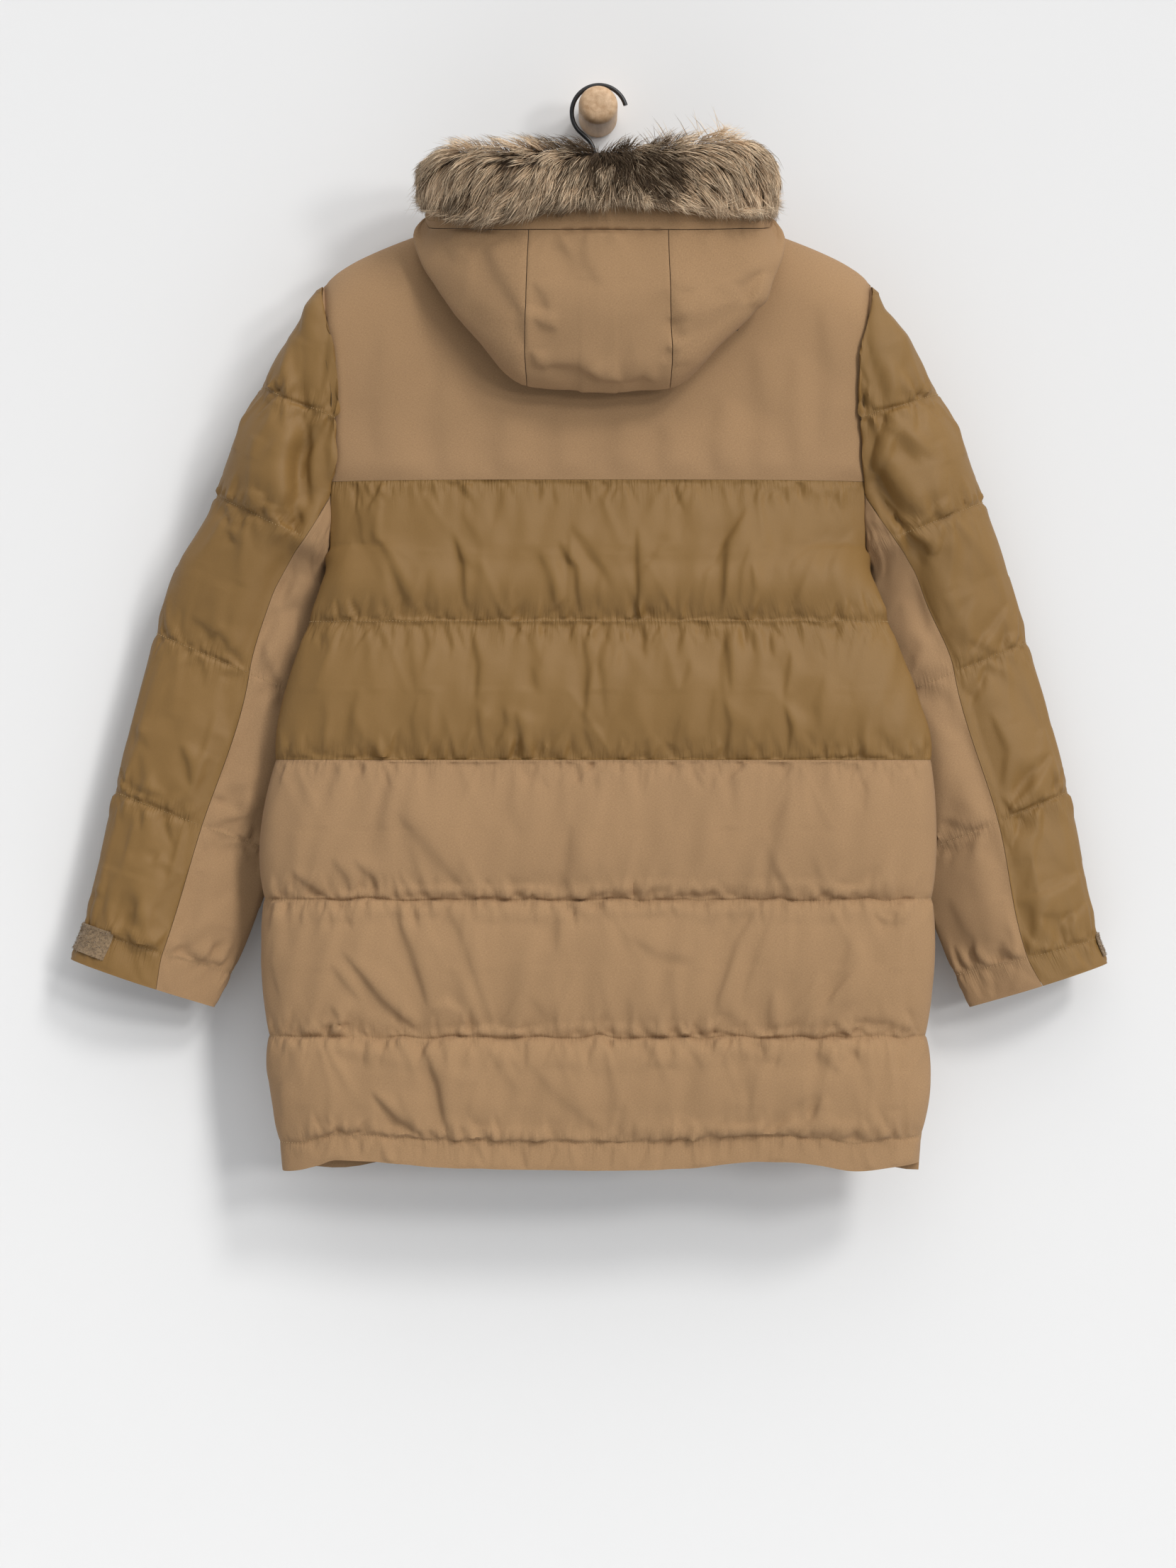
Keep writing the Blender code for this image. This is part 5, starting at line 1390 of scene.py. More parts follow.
# %% Cut the hood into its panels
HOOD_PANELS = (
    ("hood_centre", -HOOD_SEAM, HOOD_SEAM, 0, BRIM_START, ("first", "last", "bottom")),
    ("hood_side_left", -HOOD_END, -HOOD_SEAM, 0, BRIM_START, ("last", "bottom")),
    ("hood_side_right", HOOD_SEAM, HOOD_END, 0, BRIM_START, ("first", "bottom")),
    ("hood_brim", -HOOD_END, HOOD_END, BRIM_START, 1.0, ("top",)))
for name, first, last, low, high, edges in HOOD_PANELS:
    columns = np.flatnonzero((angles > first - 0.01) & (angles < last + 0.01))
    rows = np.flatnonzero((along > low - 1e-6) & (along < high + 1e-6))
    outer, inner = (grid[np.ix_(rows, columns)].copy() for grid in (hood_out, hood_lining))
    if name == "hood_brim":
        lift = np.sin(np.linspace(0, math.pi, len(rows))) ** 0.6
        outer += hood_out_way[np.ix_(rows, columns)] * (1.1 * lift)[:, None, None]
    draw_back((outer, inner), edges, 0.4)
    piece = wall(name + "_cloth", outer, inner, LINED["tan"])
    hang(piece, "tan_cloth", name)
    finished[name] = dict(outer=outer)

# %% Collar
COLLAR_END, COLLAR_HEIGHT, COLLAR_WALL = 158, 55.0, 5.0
turn, up = np.meshgrid(np.radians(np.linspace(-COLLAR_END, COLLAR_END, 121)),
                       np.linspace(0, 1, 15))
reach = np.where(np.cos(turn) > 0, NECK_BACK, NECK_FRONT)
dip = np.where(np.cos(turn) > 0, BACK_DIP, FRONT_DIP) * np.cos(turn) ** 2
collar = []
for out in (COLLAR_WALL, 0.0):
    swell = out * (0.75 + 0.25 * np.sin(math.pi * up)) - 4 * up
    collar.append(np.stack([(NECK_HALF + swell) * np.sin(turn),
                            SHOULDER_Y - (reach + swell) * np.cos(turn),
                            -(103 + dip - YOKE_WALL - 1.0 - COLLAR_HEIGHT * up)], axis=-1))
piece = wall("collar_cloth", collar[0], collar[1], LINED["tan"])
hang(piece, "tan_cloth", "collar")
print("hood and collar done")

# %% [markdown]
# ## Thread
#
# A lockstitch shows as short dashes of thread that sink into the cloth at both ends.  One
# dash is modelled and copied along every line of stitching, and lies on the settled
# cloth, so it follows each pucker.

# %% Copies of one small mesh


def tiny(name, shape):
    """Corner points and triangles of a small mesh that was modelled with operators."""
    shape()
    made = bpy.context.object
    mesh = made.data
    points = np.array([corner.co for corner in mesh.vertices])
    mesh.calc_loop_triangles()
    faces = np.array([triangle.vertices for triangle in mesh.loop_triangles])
    bpy.data.objects.remove(made, do_unlink=True)
    print(name, "has", len(faces), "faces")
    return points / MM, faces


def mesh_piece(name, points, faces, material, sharp=60, attributes=None):
    """Object from arrays in millimetres, with number attributes for its points."""
    mesh = bpy.data.meshes.new(name)
    mesh.vertices.add(len(points))
    mesh.vertices.foreach_set("co", (points * MM).astype(np.float32).ravel())
    mesh.loops.add(faces.size)
    mesh.loops.foreach_set("vertex_index", faces.astype(np.int32).ravel())
    mesh.polygons.add(len(faces))
    mesh.polygons.foreach_set("loop_start", np.arange(0, faces.size, faces.shape[1],
                                                      dtype=np.int32))
    mesh.update(calc_edges=True)
    for label, values in (attributes or {}).items():
        mesh.attributes.new(label, "FLOAT", "POINT").data.foreach_set(
            "value", values.astype(np.float32))
    mesh.materials.append(material)
    piece = bpy.data.objects.new(name, mesh)
    scene.collection.objects.link(piece)
    if sharp:
        round_off(piece, sharp)
    return piece


def copies(source, centres, along, outward):
    """Copies of a tiny mesh: its x runs along, its z points outward."""
    points, faces = source
    across = unit(np.cross(outward, along))
    outward = unit(np.cross(along, across))
    turned = (points[None, :, 0, None] * along[:, None] + points[None, :, 1, None]
              * across[:, None] + points[None, :, 2, None] * outward[:, None])
    placed = (centres[:, None] + turned).reshape(-1, 3)
    shift = np.arange(len(centres))[:, None, None] * len(points)
    return placed, (faces[None] + shift).reshape(-1, 3)


STITCH_PITCH, STITCH_LENGTH, THREAD = 3.2, 2.3, 0.36


def stitch_shape():
    bpy.ops.mesh.primitive_uv_sphere_add(segments=5, ring_count=3, radius=THREAD * MM,
                                         rotation=(0, math.pi / 2, 0))
    dash = bpy.context.object
    dash.scale = (STITCH_LENGTH / (2 * THREAD), 1, 1)
    bpy.ops.object.transform_apply(location=True, rotation=True, scale=True)


def row_stitches(outer, row):
    """Places along one row of a grid: centre, direction and outward normal."""
    normal = grid_normals(outer)[row]
    line = outer[row]
    normal = normal * np.sign((normal * (line - outer.mean(axis=(0, 1)))).sum(axis=1).mean())
    reach = run_length(line)
    at = np.arange(3.0, reach[-1] - 3.0, STITCH_PITCH)
    place = sample(at, reach, line)
    ahead = sample(at + 1, reach, line)
    return place, unit(ahead - place), unit(sample(at, reach, normal))


bpy.ops.object.select_all(action="DESELECT")
STITCH = tiny("stitch", stitch_shape)


# %% Lay the thread
THREAD_FINISH = speckled("thread", (900, 900, 900), 2, (0.3, (0.36, 0.25, 0.12)),
                         (0.7, (0.62, 0.46, 0.26)), Roughness=0.55, Specular_IOR_Level=0.4)


def lay_thread(name, rows, slot):
    """One piece of thread from the stitches of several rows."""
    places = [np.concatenate(part) for part in zip(*rows)]
    points, faces = copies(STITCH, *places)
    carry(mesh_piece(name, points, faces, THREAD_FINISH), slot)
    print(name, "stitches:", len(places[0]))


def line_at(name, line):
    """Row of a finished piece's grid that runs along a stitched line."""
    at = finished[name]["at"]
    return int(np.argmin(np.abs(at[:, at.shape[1] // 4] - line)))


body_rows = {"back": [], "front": []}
for name, lines in (("middle", (510.0,)), ("lower", (781.0, 915.0, HEM_STITCH_DROP))):
    for panel, key in (("back_" + name, "back"), ("front_" + name + "_left", "front"),
                       ("front_" + name + "_right", "front")):
        for line in lines:
            body_rows[key].append(row_stitches(finished[panel]["outer"], line_at(panel, line)))
for key, rows in body_rows.items():
    lay_thread("stitches_" + key, rows, "tan_cloth")
for side in ("left", "right"):
    rows = []
    for part, lines in (("upper", SLEEVE_LINES[1:]), ("under", SLEEVE_LINES[3:])):
        panel = "sleeve_" + part + "_" + side
        for line in lines:
            rows.append(row_stitches(finished[panel]["outer"], line_at(panel, line)))
    lay_thread("stitches_sleeve_" + side, rows, "olive_cloth")
BRIM_STITCH_ROW = 3
lay_thread("stitches_hood", [row_stitches(finished["hood_brim"]["outer"], BRIM_STITCH_ROW)],
           "tan_cloth")

# %% [markdown]
# ## The fur ruff
#
# A fur ruff is long hair over a dark, dense undercoat.  The undercoat is one closed form
# round the rim.  The hair grows out of it in tufts: each strand leaves along the surface
# normal, bends into the combed direction, and leans towards the tip of its tuft.  Three
# pieces of hair keep each mesh small, and two numbers on every point drive the colour: how
# far along the strand it is, and how light it is, which is its tuft's own tone with painted
# shade in a few patches and painted light towards the right.

# %% Fur section, and the undercoat
FUR_END, FUR_CORE = 124.0, 0.70


def fur_section(at):
    """Corners of the ruff's section at an angle round the rim."""
    side, off = ("_left" if at < 0 else "_right"), abs(at)
    knots, outward = hood_line(at, float(read(HOOD, "low" + side, off)))
    rim = knots[-1]
    below, above, reach = (float(read(FUR, name, off)) for name in
                           ("below" + side, "above" + side, "reach"))
    lift = 0.7 + 1.6 * float(ease((off - 95) / 15))
    brim = HOOD_WALL + 0.8 + 2 * float(ease((off - 95) / 15))
    shape = [(-9, lift), (-12, 0.35 * above), (-8, 0.7 * above), (0.15 * reach, 0.93 * above),
             (0.5 * reach, above), (0.85 * reach, 0.8 * above), (reach, 0.45 * above),
             (reach, 0.05 * above), (0.85 * reach, -0.6 * below), (0.55 * reach, -below),
             (brim, -0.8 * below), (brim, lift)]
    return np.array([rim + outward * out + np.array([0, 0, up]) for out, up in shape])


def ring_points(corners, count):
    """A smooth closed ring through the corners, with points at even distances."""
    closed = np.concatenate([corners, corners[:1]])
    reach = run_length(closed)
    return sample(np.linspace(0, reach[-1], count, endpoint=False), reach, closed)


RING = 48
fur_angles = np.linspace(-FUR_END, FUR_END, 125)
sections = np.array([ring_points(fur_section(at), RING) for at in fur_angles])
centres = sections.mean(axis=1, keepdims=True)
end = np.sin(np.clip((FUR_END - np.abs(fur_angles)) / 30, 0, 1) * math.pi / 2)[:, None, None]
core = centres + (sections - centres) * FUR_CORE * (0.35 + 0.65 * end)
for _ in range(2):
    core = (np.roll(core, 1, axis=1) + 2 * core + np.roll(core, -1, axis=1)) / 4


UNDERCOAT = speckled("undercoat", (260, 260, 90), 4, (0, (0.018, 0.011, 0.007)),
                     (1, (0.11, 0.075, 0.048)), depth=0.004, Roughness=0.9,
                     Specular_IOR_Level=0.2)
index = np.arange(core.shape[0] * RING).reshape(core.shape[:2])
after = np.roll(index, -1, axis=1)
quads = np.stack([index[:-1], index[1:], after[1:], after[:-1]], -1).reshape(-1, 4)
corners = core.reshape(-1, 3)
turn = -1 if volume(corners, quads) < 0 else 1      # the faces point outwards
quads = quads[:, ::turn]
corners = np.concatenate([corners, [core[0].mean(axis=0), core[-1].mean(axis=0)]])
caps = [np.stack([ring, np.roll(ring, -1), np.full(RING, tip)], -1)[:, ::turn]
        for ring, tip in ((index[0], len(corners) - 2), (index[-1, ::-1], len(corners) - 1))]
undercoat = mesh_piece("fur_undercoat", corners,
                       np.concatenate([quads[:, (0, 1, 2)], quads[:, (0, 2, 3)]] + caps),
                       UNDERCOAT, 80)
carry(undercoat, "fur", "fur_trim")

# %% Comb the hair
# The outline tables below are drawn for the camera: EYE_AWAY metres from the wall and
# EYE_DROP below the peg, in the plane SIGHT_PLANE metres away from it.
EYE_AWAY, EYE_DROP, SIGHT_PLANE = 4.066, 668.5, 4.0
STRANDS, HAIR_RADIUS, TUFT_SIZE, GUARD_SHARE = 27000, 0.27, 32, 0.12
# Patches of painted shade, where the fur lies in shadow: x, drop, width and height of each.
SHADED_FUR_PATCHES = ((-54, 48, 45, 12), (-7.5, 53, 22, 25), (30, 72, 45, 28), (88, 32, 50, 8),
                (-124, 46, 12, 10), (65, 83, 18, 18))
draw = np.random.default_rng(7)


def on_core(angle, w):
    """Place and outward normal on the undercoat, by angle and share of the ring."""
    a = (angle + FUR_END) / (2 * FUR_END) * (len(fur_angles) - 1)
    i = np.clip(a.astype(int), 0, len(fur_angles) - 2)
    k = (w * RING).astype(int) % RING
    fa, fw = (a - i)[:, None], (w * RING - (w * RING).astype(int))[:, None]
    low, high = core[i, k], core[i, (k + 1) % RING]
    low2, high2 = core[i + 1, k], core[i + 1, (k + 1) % RING]
    place = (low * (1 - fw) + high * fw) * (1 - fa) + (low2 * (1 - fw) + high2 * fw) * fa
    normal = unit(np.cross(high - low, low2 - low))
    middle = core[i].mean(axis=1)
    return place, normal * np.sign((normal * (place - middle)).sum(axis=-1, keepdims=True))


def comb(place, normal):
    """Combed direction: down and to the left on the left half, to the right on the
    right half, outwards and down on the side by the wall."""
    x = place[:, 0]
    aim = np.zeros(place.shape)
    aim[:, 0] = np.interp(x, (-180, -150, -60, -15, 20, 60, 105, 150, 185),
                          (-0.35, -0.55, -0.66, -0.50, 0.10, 0.80, 0.60, 0.35, 0.20))
    aim[:, 2] = -np.sqrt(np.maximum(1 - aim[:, 0] ** 2, 0.1))
    aim[:, 1] = -0.12
    aim[normal[:, 1] > 0.2, 1] = 0.35
    top = ease((normal[:, 2] - 0.35) / 0.5)[:, None]
    aim = aim * (1 - 0.7 * top) + top * np.stack([np.sign(x) * 0.3, 0 * x - 0.4, 0 * x + 0.75], -1)
    aim -= normal * (aim * normal).sum(axis=1, keepdims=True)
    return unit(aim)


# Lower and upper edge of the ruff as the camera sees it: x, drop of each.
FUR_LOW = np.array(((-185, 92), (-160, 99), (-130, 112), (-89, 122), (-60, 112), (-30, 102),
                    (0, 101), (60, 102), (90, 108), (130, 105), (160, 107), (185, 106)), float).T
FUR_TOP = np.array(((-185, 77), (-178, 66), (-164, 48), (-150, 36), (-136, 31), (-108, 32),
                    (-78, 30), (-38, 27), (18, 31), (46, 31), (60, 25), (88, 23), (102, 18),
                    (116, 20), (144, 24), (158, 44), (172, 70), (185, 80)), float).T


def grow(count, low, high):
    """Strands over part of the rim: roots, directions, lengths and lightness, painted light and
    shade included.
    """
    tufts = int(count / TUFT_SIZE)
    tuft_place, tuft_normal = on_core(draw.uniform(low, high, tufts), draw.uniform(0, 1, tufts))
    tuft_aim = unit(comb(tuft_place, tuft_normal) + draw.normal(0, 0.26, (tufts, 3)))
    tuft_tone = draw.normal(0, 1, tufts)
    at, w = draw.uniform(low, high, 3 * count), draw.uniform(0, 1, 3 * count)
    place, normal = on_core(at, w)
    seen = np.flatnonzero((normal[:, 1] < 0.1) | (draw.random(3 * count) < 0.4))[:count]
    at, place, normal = at[seen], place[seen], normal[seen]
    count = len(at)
    near = np.empty(count, int)
    for start in range(0, count, 2000):
        part = slice(start, start + 2000)
        gap = ((place[part, None] - tuft_place[None]) ** 2).sum(axis=-1)
        near[part] = gap.argmin(axis=1)
    curly = np.exp(-((place[:, 0] - 30) / 45) ** 2)[:, None]
    own = comb(place, normal) + draw.normal(0, 1, (count, 3)) * (0.22 + 0.65 * curly)
    aim = unit(0.6 * own + 0.7 * tuft_aim[near])
    length = draw.uniform(20, 38, count) * (1 - 0.3 * curly[:, 0])
    guard = draw.random(count) < GUARD_SHARE
    length = np.where(guard, length * 1.2, length)
    up = ease((normal[:, 2] - 0.2) / 0.5)
    length = np.where(normal[:, 1] > 0.25, length * 0.6, length) * (1 + 0.35 * up)
    tip = tuft_place[near] + tuft_normal[near] * 7 + tuft_aim[near] * 30
    stand = draw.uniform(0.30, 0.60, count) + 1.1 * up
    start = unit(normal * stand[:, None] + 0.8 * aim)
    finish = unit(aim + 0.60 * unit(tip - place) + normal * (0.85 * up - 0.08)[:, None])
    wild = (draw.random(count) < 0.05) & (normal[:, 2] > 0.4) & (np.abs(place[:, 0] - 92) < 42)
    finish[wild] = unit(np.array((-0.45, -0.2, 0.85)) + draw.normal(0, 0.14, (wild.sum(), 3)))
    start[wild] = unit(finish[wild] + 0.5 * normal[wild])
    sight = SIGHT_PLANE / (EYE_AWAY + place[:, 1] * MM)
    bottom, top = ((EYE_DROP - np.interp(place[:, 0] * sight, *edge)) / sight - EYE_DROP
                   for edge in (FUR_LOW, FUR_TOP))
    ends = place + length[:, None] * (0.25 * start + 0.75 * finish)
    loose = draw.uniform(-2, 7, count) + np.where(guard, 3, 0)
    wide = np.interp(-ends[:, 2], (25, 46, 60, 74, 95, 122),
                     (132, 147, 161, 171, 176, 171)) + loose
    for axis, sign, limit in ((2, -1, bottom - loose), (2, 1, top + 4 + 0.6 * loose),
                              (0, 1, wide), (0, -1, -wide), (1, -1, -212 - loose)):
        move = (ends[:, axis] - place[:, axis]) * sign
        room = (limit - place[:, axis]) * sign
        cut = np.clip(room / np.maximum(move, 1e-6), 0.3, 1)
        length = np.where((move > room) & ~wild, length * cut, length)
    # Painted shade: the hair is made darker in these patches, where the fur lies in shadow.
    dark = np.zeros(count)
    for x, drop, wide, tall in SHADED_FUR_PATCHES:
        dark += np.exp(-((place[:, 0] - x) / wide) ** 2 - ((place[:, 2] + drop) / tall) ** 2)
    # Painted light: lighter towards the right, where the light falls, added to the random tone of
    # each tuft and strand.
    tone_and_shade = 1.12 + 0.40 * ease(place[:, 0] / 110) + 0.42 * tuft_tone[near] - 1.1 * dark
    tone_and_shade += draw.normal(0, 0.36, count)
    tone_and_shade = np.where(guard, tone_and_shade * 0.40, tone_and_shade)
    return place - normal * 1.5, start, finish, length, np.clip(tone_and_shade, 0.10, 1.6)


def strands(place, start, finish, length, tone_and_shade):
    """Spindles with three sides: a root, two rings and a tip."""
    at = np.array((0, 0.32, 0.68, 1.0))
    path = place[:, None] + (length[:, None] * at)[..., None] * (
        start[:, None] * (1 - at)[None, :, None] + finish[:, None] * at[None, :, None])
    path[..., 2] -= at ** 2 * length[:, None] * 0.07
    ahead = unit(np.gradient(path, axis=1))
    side = unit(np.cross(ahead, draw.normal(0, 1, (len(place), 1, 3))))
    other = np.cross(ahead, side)
    radius = HAIR_RADIUS * np.array((1.0, 0.8))[None, :, None]
    rings = [path[:, 1:3] + radius * (side[:, 1:3] * math.cos(turn)
                                      + other[:, 1:3] * math.sin(turn))
             for turn in (0, 2 * math.pi / 3, 4 * math.pi / 3)]
    rings = np.stack(rings, axis=2).reshape(len(place), 6, 3)
    points = np.concatenate([path[:, :1], rings, path[:, 3:]], axis=1)
    faces = []
    for k in range(3):
        a, b = 1 + k, 1 + (k + 1) % 3
        faces += [(0, b, a), (a, b, b + 3), (a, b + 3, a + 3), (a + 3, b + 3, 7)]
    shift = np.arange(len(place))[:, None, None] * 8
    along = np.tile(np.array((0,) + (0.32,) * 3 + (0.68,) * 3 + (1,)), len(place))
    return (points.reshape(-1, 3), (np.array(faces)[None] + shift).reshape(-1, 3), along,
            np.repeat(tone_and_shade, 8))


def hair_finish():
    material, tree, shader = principled("hair", Roughness=0.5, Specular_IOR_Level=0.08)
    along = add(tree, "ShaderNodeAttribute", (-900, 200), attribute_name="along")
    # The second attribute is each strand's lightness: its tuft's own tone, painted shade in a few
    # patches and painted light towards the right.
    tone_and_shade = add(tree, "ShaderNodeAttribute", (-900, -100), attribute_name="tone_and_shade")
    colour = colour_ramp(tree, along.outputs["Fac"], (0.0, (0.030, 0.018, 0.010)),
                         (0.15, (0.12, 0.075, 0.042)), (0.38, (0.74, 0.53, 0.34)),
                         (0.78, (1.0, 0.80, 0.57)), (1.0, (0.45, 0.31, 0.19)))
    light = add(tree, "ShaderNodeMix", (-250, 200), data_type="RGBA")
    light.inputs[6].default_value = (0.045, 0.024, 0.011, 1)
    tree.links.new(colour, light.inputs[7])
    tree.links.new(maths(tree, "MULTIPLY", tone_and_shade.outputs["Fac"], 0.8), light.inputs[0])
    tree.links.new(light.outputs[2], shader.inputs["Base Color"])
    return material


HAIR = hair_finish()
for name, low, high in (("left", -FUR_END, -26.0), ("middle", -26.0, 26.0),
                        ("right", 26.0, FUR_END)):
    points, faces, far_along, lightness = strands(*grow(STRANDS // 3, low, high))
    carry(mesh_piece("fur_hair_" + name, points, faces, HAIR, 0,
                     {"along": far_along, "tone_and_shade": lightness}), "fur", "fur_trim")
    print("hair", name, "faces", len(faces))


# %% [markdown]
# ## Cuff patches
#
# The fuzzy half of a hook-and-loop closing is a woven tape covered in fine loops.  The
# tape is a thin wall on the cuff, and short bent hairs stand for the loops.

# %% Cuff patches
LOOPS = 900
PILE = speckled("loop_pile", (700, 700, 700), 4, (0, (0.10, 0.062, 0.032)),
                (1, (0.42, 0.30, 0.18)), Roughness=0.95, Specular_IOR_Level=0.15,
                Sheen_Weight=0.3)
for side in ("left", "right"):
    low, high = (-0.95, 0.25) if side == "right" else (-0.3, 0.95)
    angle, s = np.meshgrid(np.linspace(low, high, 61), np.linspace(681, 705, 21))
    inside, outside, _ = sleeve_grids(side, angle, s)
    outward = unit(outside - inside)
    tape = wall("cuff_patch_" + side + "_tape", outside + outward * 2.4,
                outside + outward * 1.2, (PILE,))
    hang(tape, "loop_pile", "cuff_patch_" + side)
    draw = np.random.default_rng(9)
    i, k = draw.integers(0, 20, LOOPS), draw.integers(0, 60, LOOPS)
    down, across = draw.random((LOOPS, 1)), draw.random((LOOPS, 1))
    face = outside + outward * 2.3
    place = ((face[i, k] * (1 - down) + face[i + 1, k] * down) * (1 - across)
             + (face[i, k + 1] * (1 - down) + face[i + 1, k + 1] * down) * across)
    way = unit(outward[i, k] + draw.normal(0, 0.6, (LOOPS, 3)))
    bend = unit(way + draw.normal(0, 0.9, (LOOPS, 3)))
    points, faces = strands(place, way, bend, draw.uniform(1.2, 2.6, LOOPS), np.ones(LOOPS))[:2]
    carry(mesh_piece("cuff_patch_" + side + "_loops", points, faces, PILE, 0), "loop_pile",
          "cuff_patch_" + side)
print("cuff patches done")

# %% [markdown]
# ## The zip
#
# The front closes with a coarse moulded zip.  Two woven tapes carry teeth that mesh in
# the middle, the slider is a small bevelled block, and its pull hangs from a pin.

# %% Zip tapes and teeth
ZIP_TOP, ZIP_BOTTOM, SLIDER_DROP, TOOTH_PITCH = 150.0, 1000.0, 158.0, 2.6


def zip_y(drop):
    return front_y(np.zeros(np.shape(drop)), np.asarray(drop, float))


def select_faces(piece, wanted):
    """Select the faces of a piece whose centre and normal pass a test, in edit mode."""
    bpy.ops.object.mode_set(mode="OBJECT")
    for face in piece.data.polygons:
        face.select = bool(wanted(face.center / MM, face.normal))
    for edge in piece.data.edges:
        edge.select = False
    for corner in piece.data.vertices:
        corner.select = False
    for face in piece.data.polygons:
        if face.select:
            for corner in face.vertices:
                piece.data.vertices[corner].select = True
    bpy.ops.object.mode_set(mode="EDIT")
    bpy.ops.mesh.select_mode(type="FACE")


def tooth_shape():
    bpy.ops.mesh.primitive_cube_add(size=MM)
    tooth = bpy.context.object
    tooth.scale = (3.4, 1.2, 1.5)
    bpy.ops.object.transform_apply(location=True, rotation=True, scale=True)
    bpy.ops.object.mode_set(mode="EDIT")
    bpy.ops.mesh.select_all(action="DESELECT")
    bpy.ops.object.mode_set(mode="OBJECT")
    select_faces(tooth, lambda at, way: way.z > 0.9)
    bpy.ops.mesh.inset(thickness=0.3 * MM, depth=0.3 * MM)
    bpy.ops.object.mode_set(mode="OBJECT")


def plain_finish(name, colour, metallic, roughness, scale=300, depth=0.00003):
    """Moulded or metal surface with mottled colour, gloss and relief."""
    material, tree, shader = principled(name, Metallic=metallic)
    mottle = object_noise(tree, (scale, scale, scale), 4)
    worn = add(tree, "ShaderNodeMapRange", (-500, 100))
    worn.inputs["To Min"].default_value = roughness - 0.08
    worn.inputs["To Max"].default_value = roughness + 0.10
    dark, light = ([min(c * factor, 1) for c in colour] for factor in (0.8, 1.2))
    tree.links.new(mottle, worn.inputs["Value"])
    tree.links.new(worn.outputs["Result"], shader.inputs["Roughness"])
    tree.links.new(colour_ramp(tree, mottle, (0, dark), (1, light)), shader.inputs["Base Color"])
    relief(tree, shader, mottle, depth)
    return material


DARK_METAL = plain_finish("dark_metal", (0.07, 0.06, 0.055), 1.0, 0.42)
TEETH = plain_finish("moulded_teeth", (0.035, 0.028, 0.022), 0.0, 0.4)
for side, sign in (("left", -1), ("right", 1)):
    drop, across = np.meshgrid(np.linspace(ZIP_TOP, ZIP_BOTTOM, 171), np.linspace(0.2, 14.4, 7),
                               indexing="ij")
    grids = [np.stack([sign * across, zip_y(drop) + deep, -drop], -1) for deep in (2.5, 0.5)]
    tape = wall("zip_tape_" + side + "_weave", grids[0], grids[1], (TAPE,))
    hang(tape, "zip_tape", "zip_tape_" + side)
    at = np.arange(SLIDER_DROP + 9 + (TOOTH_PITCH / 2 if sign > 0 else 0), ZIP_BOTTOM - 6,
                   TOOTH_PITCH)
    bpy.ops.object.select_all(action="DESELECT")
    if side == "left":
        TOOTH = tiny("tooth", tooth_shape)
    middles = np.stack([np.full(len(at), sign * 1.5), zip_y(at) + 3.1, -at], -1)
    points, faces = copies(TOOTH, middles, np.tile((1.0, 0, 0), (len(at), 1)),
                           np.tile((0, 1.0, 0), (len(at), 1)))
    carry(mesh_piece("zip_teeth_" + side, points, faces, TEETH, 30), "zip_tape")
print("zip tapes and teeth done")

# %% Zip slider and pull


def block(name, low, high, material):
    """Box between two corners, with its place in its mesh."""
    bpy.ops.object.select_all(action="DESELECT")
    low, high = np.array(low, float), np.array(high, float)
    bpy.ops.mesh.primitive_cube_add(size=1, location=(low + high) / 2 * MM)
    piece = bpy.context.object
    piece.name = piece.data.name = name
    piece.scale = (high - low) * MM
    bpy.ops.object.transform_apply(location=True, rotation=True, scale=True)
    piece.data.materials.append(material)
    return piece


def soften(piece, width):
    """Bevel the sharp edges and shade the piece smooth."""
    bpy.ops.object.mode_set(mode="OBJECT")
    only(piece)
    bevel = piece.modifiers.new("edges", "BEVEL")
    bevel.width, bevel.segments = width * MM, 3
    bevel.limit_method, bevel.angle_limit = "ANGLE", math.radians(35)
    bpy.ops.object.modifier_apply(modifier=bevel.name)
    round_off(piece, 40)


face_y = float(zip_y(SLIDER_DROP)) + 2.5
slider = block("slider_body", (-5, face_y + 0.3, -SLIDER_DROP - 7),
               (5, face_y + 4.3, -SLIDER_DROP + 7), DARK_METAL)
select_faces(slider, lambda at, way: way.z < -0.5)
bpy.ops.transform.resize(value=(0.62, 1, 1), center_override=(0, 0, 0))
select_faces(slider, lambda at, way: way.y > 0.5)
bpy.ops.mesh.inset(thickness=1.6 * MM, depth=0)
bpy.ops.mesh.extrude_region_move(TRANSFORM_OT_translate={"value": (0, -0.8 * MM, 0)})
soften(slider, 0.5)
carry(slider, "dark_metal", "zip_slider")

pull = block("pull_tab", (-4, face_y + 4.7, -SLIDER_DROP - 30),
             (4, face_y + 6.7, -SLIDER_DROP + 2), DARK_METAL)
select_faces(pull, lambda at, way: way.z > 0.5)
bpy.ops.transform.resize(value=(0.55, 1, 1), center_override=(0, 0, 0))
for facing in (1, -1):
    select_faces(pull, lambda at, way: way.y * facing > 0.5)
    bpy.ops.mesh.inset(thickness=1.3 * MM, depth=0)
    bpy.ops.mesh.extrude_region_move(TRANSFORM_OT_translate={"value": (0, -0.45 * facing * MM, 0)})
soften(pull, 0.35)
carry(pull, "dark_metal", "zip_pull", body="pull")
print("slider and pull faces:", len(slider.data.polygons), len(pull.data.polygons))

# %% [markdown]
# ## Peg, hook and hanger bar
#
# The peg is a turned piece of beech with a rounded end; its grain runs along it, so the
# pattern is stretched in y.  The hook is bent wire with a dipped black coat, which a
# bevelled curve gives in one step.  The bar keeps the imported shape, because only its ends
# can be seen through the neck.

# %% Peg
PEG_RADIUS, PEG_LENGTH = 19.25, 86.0


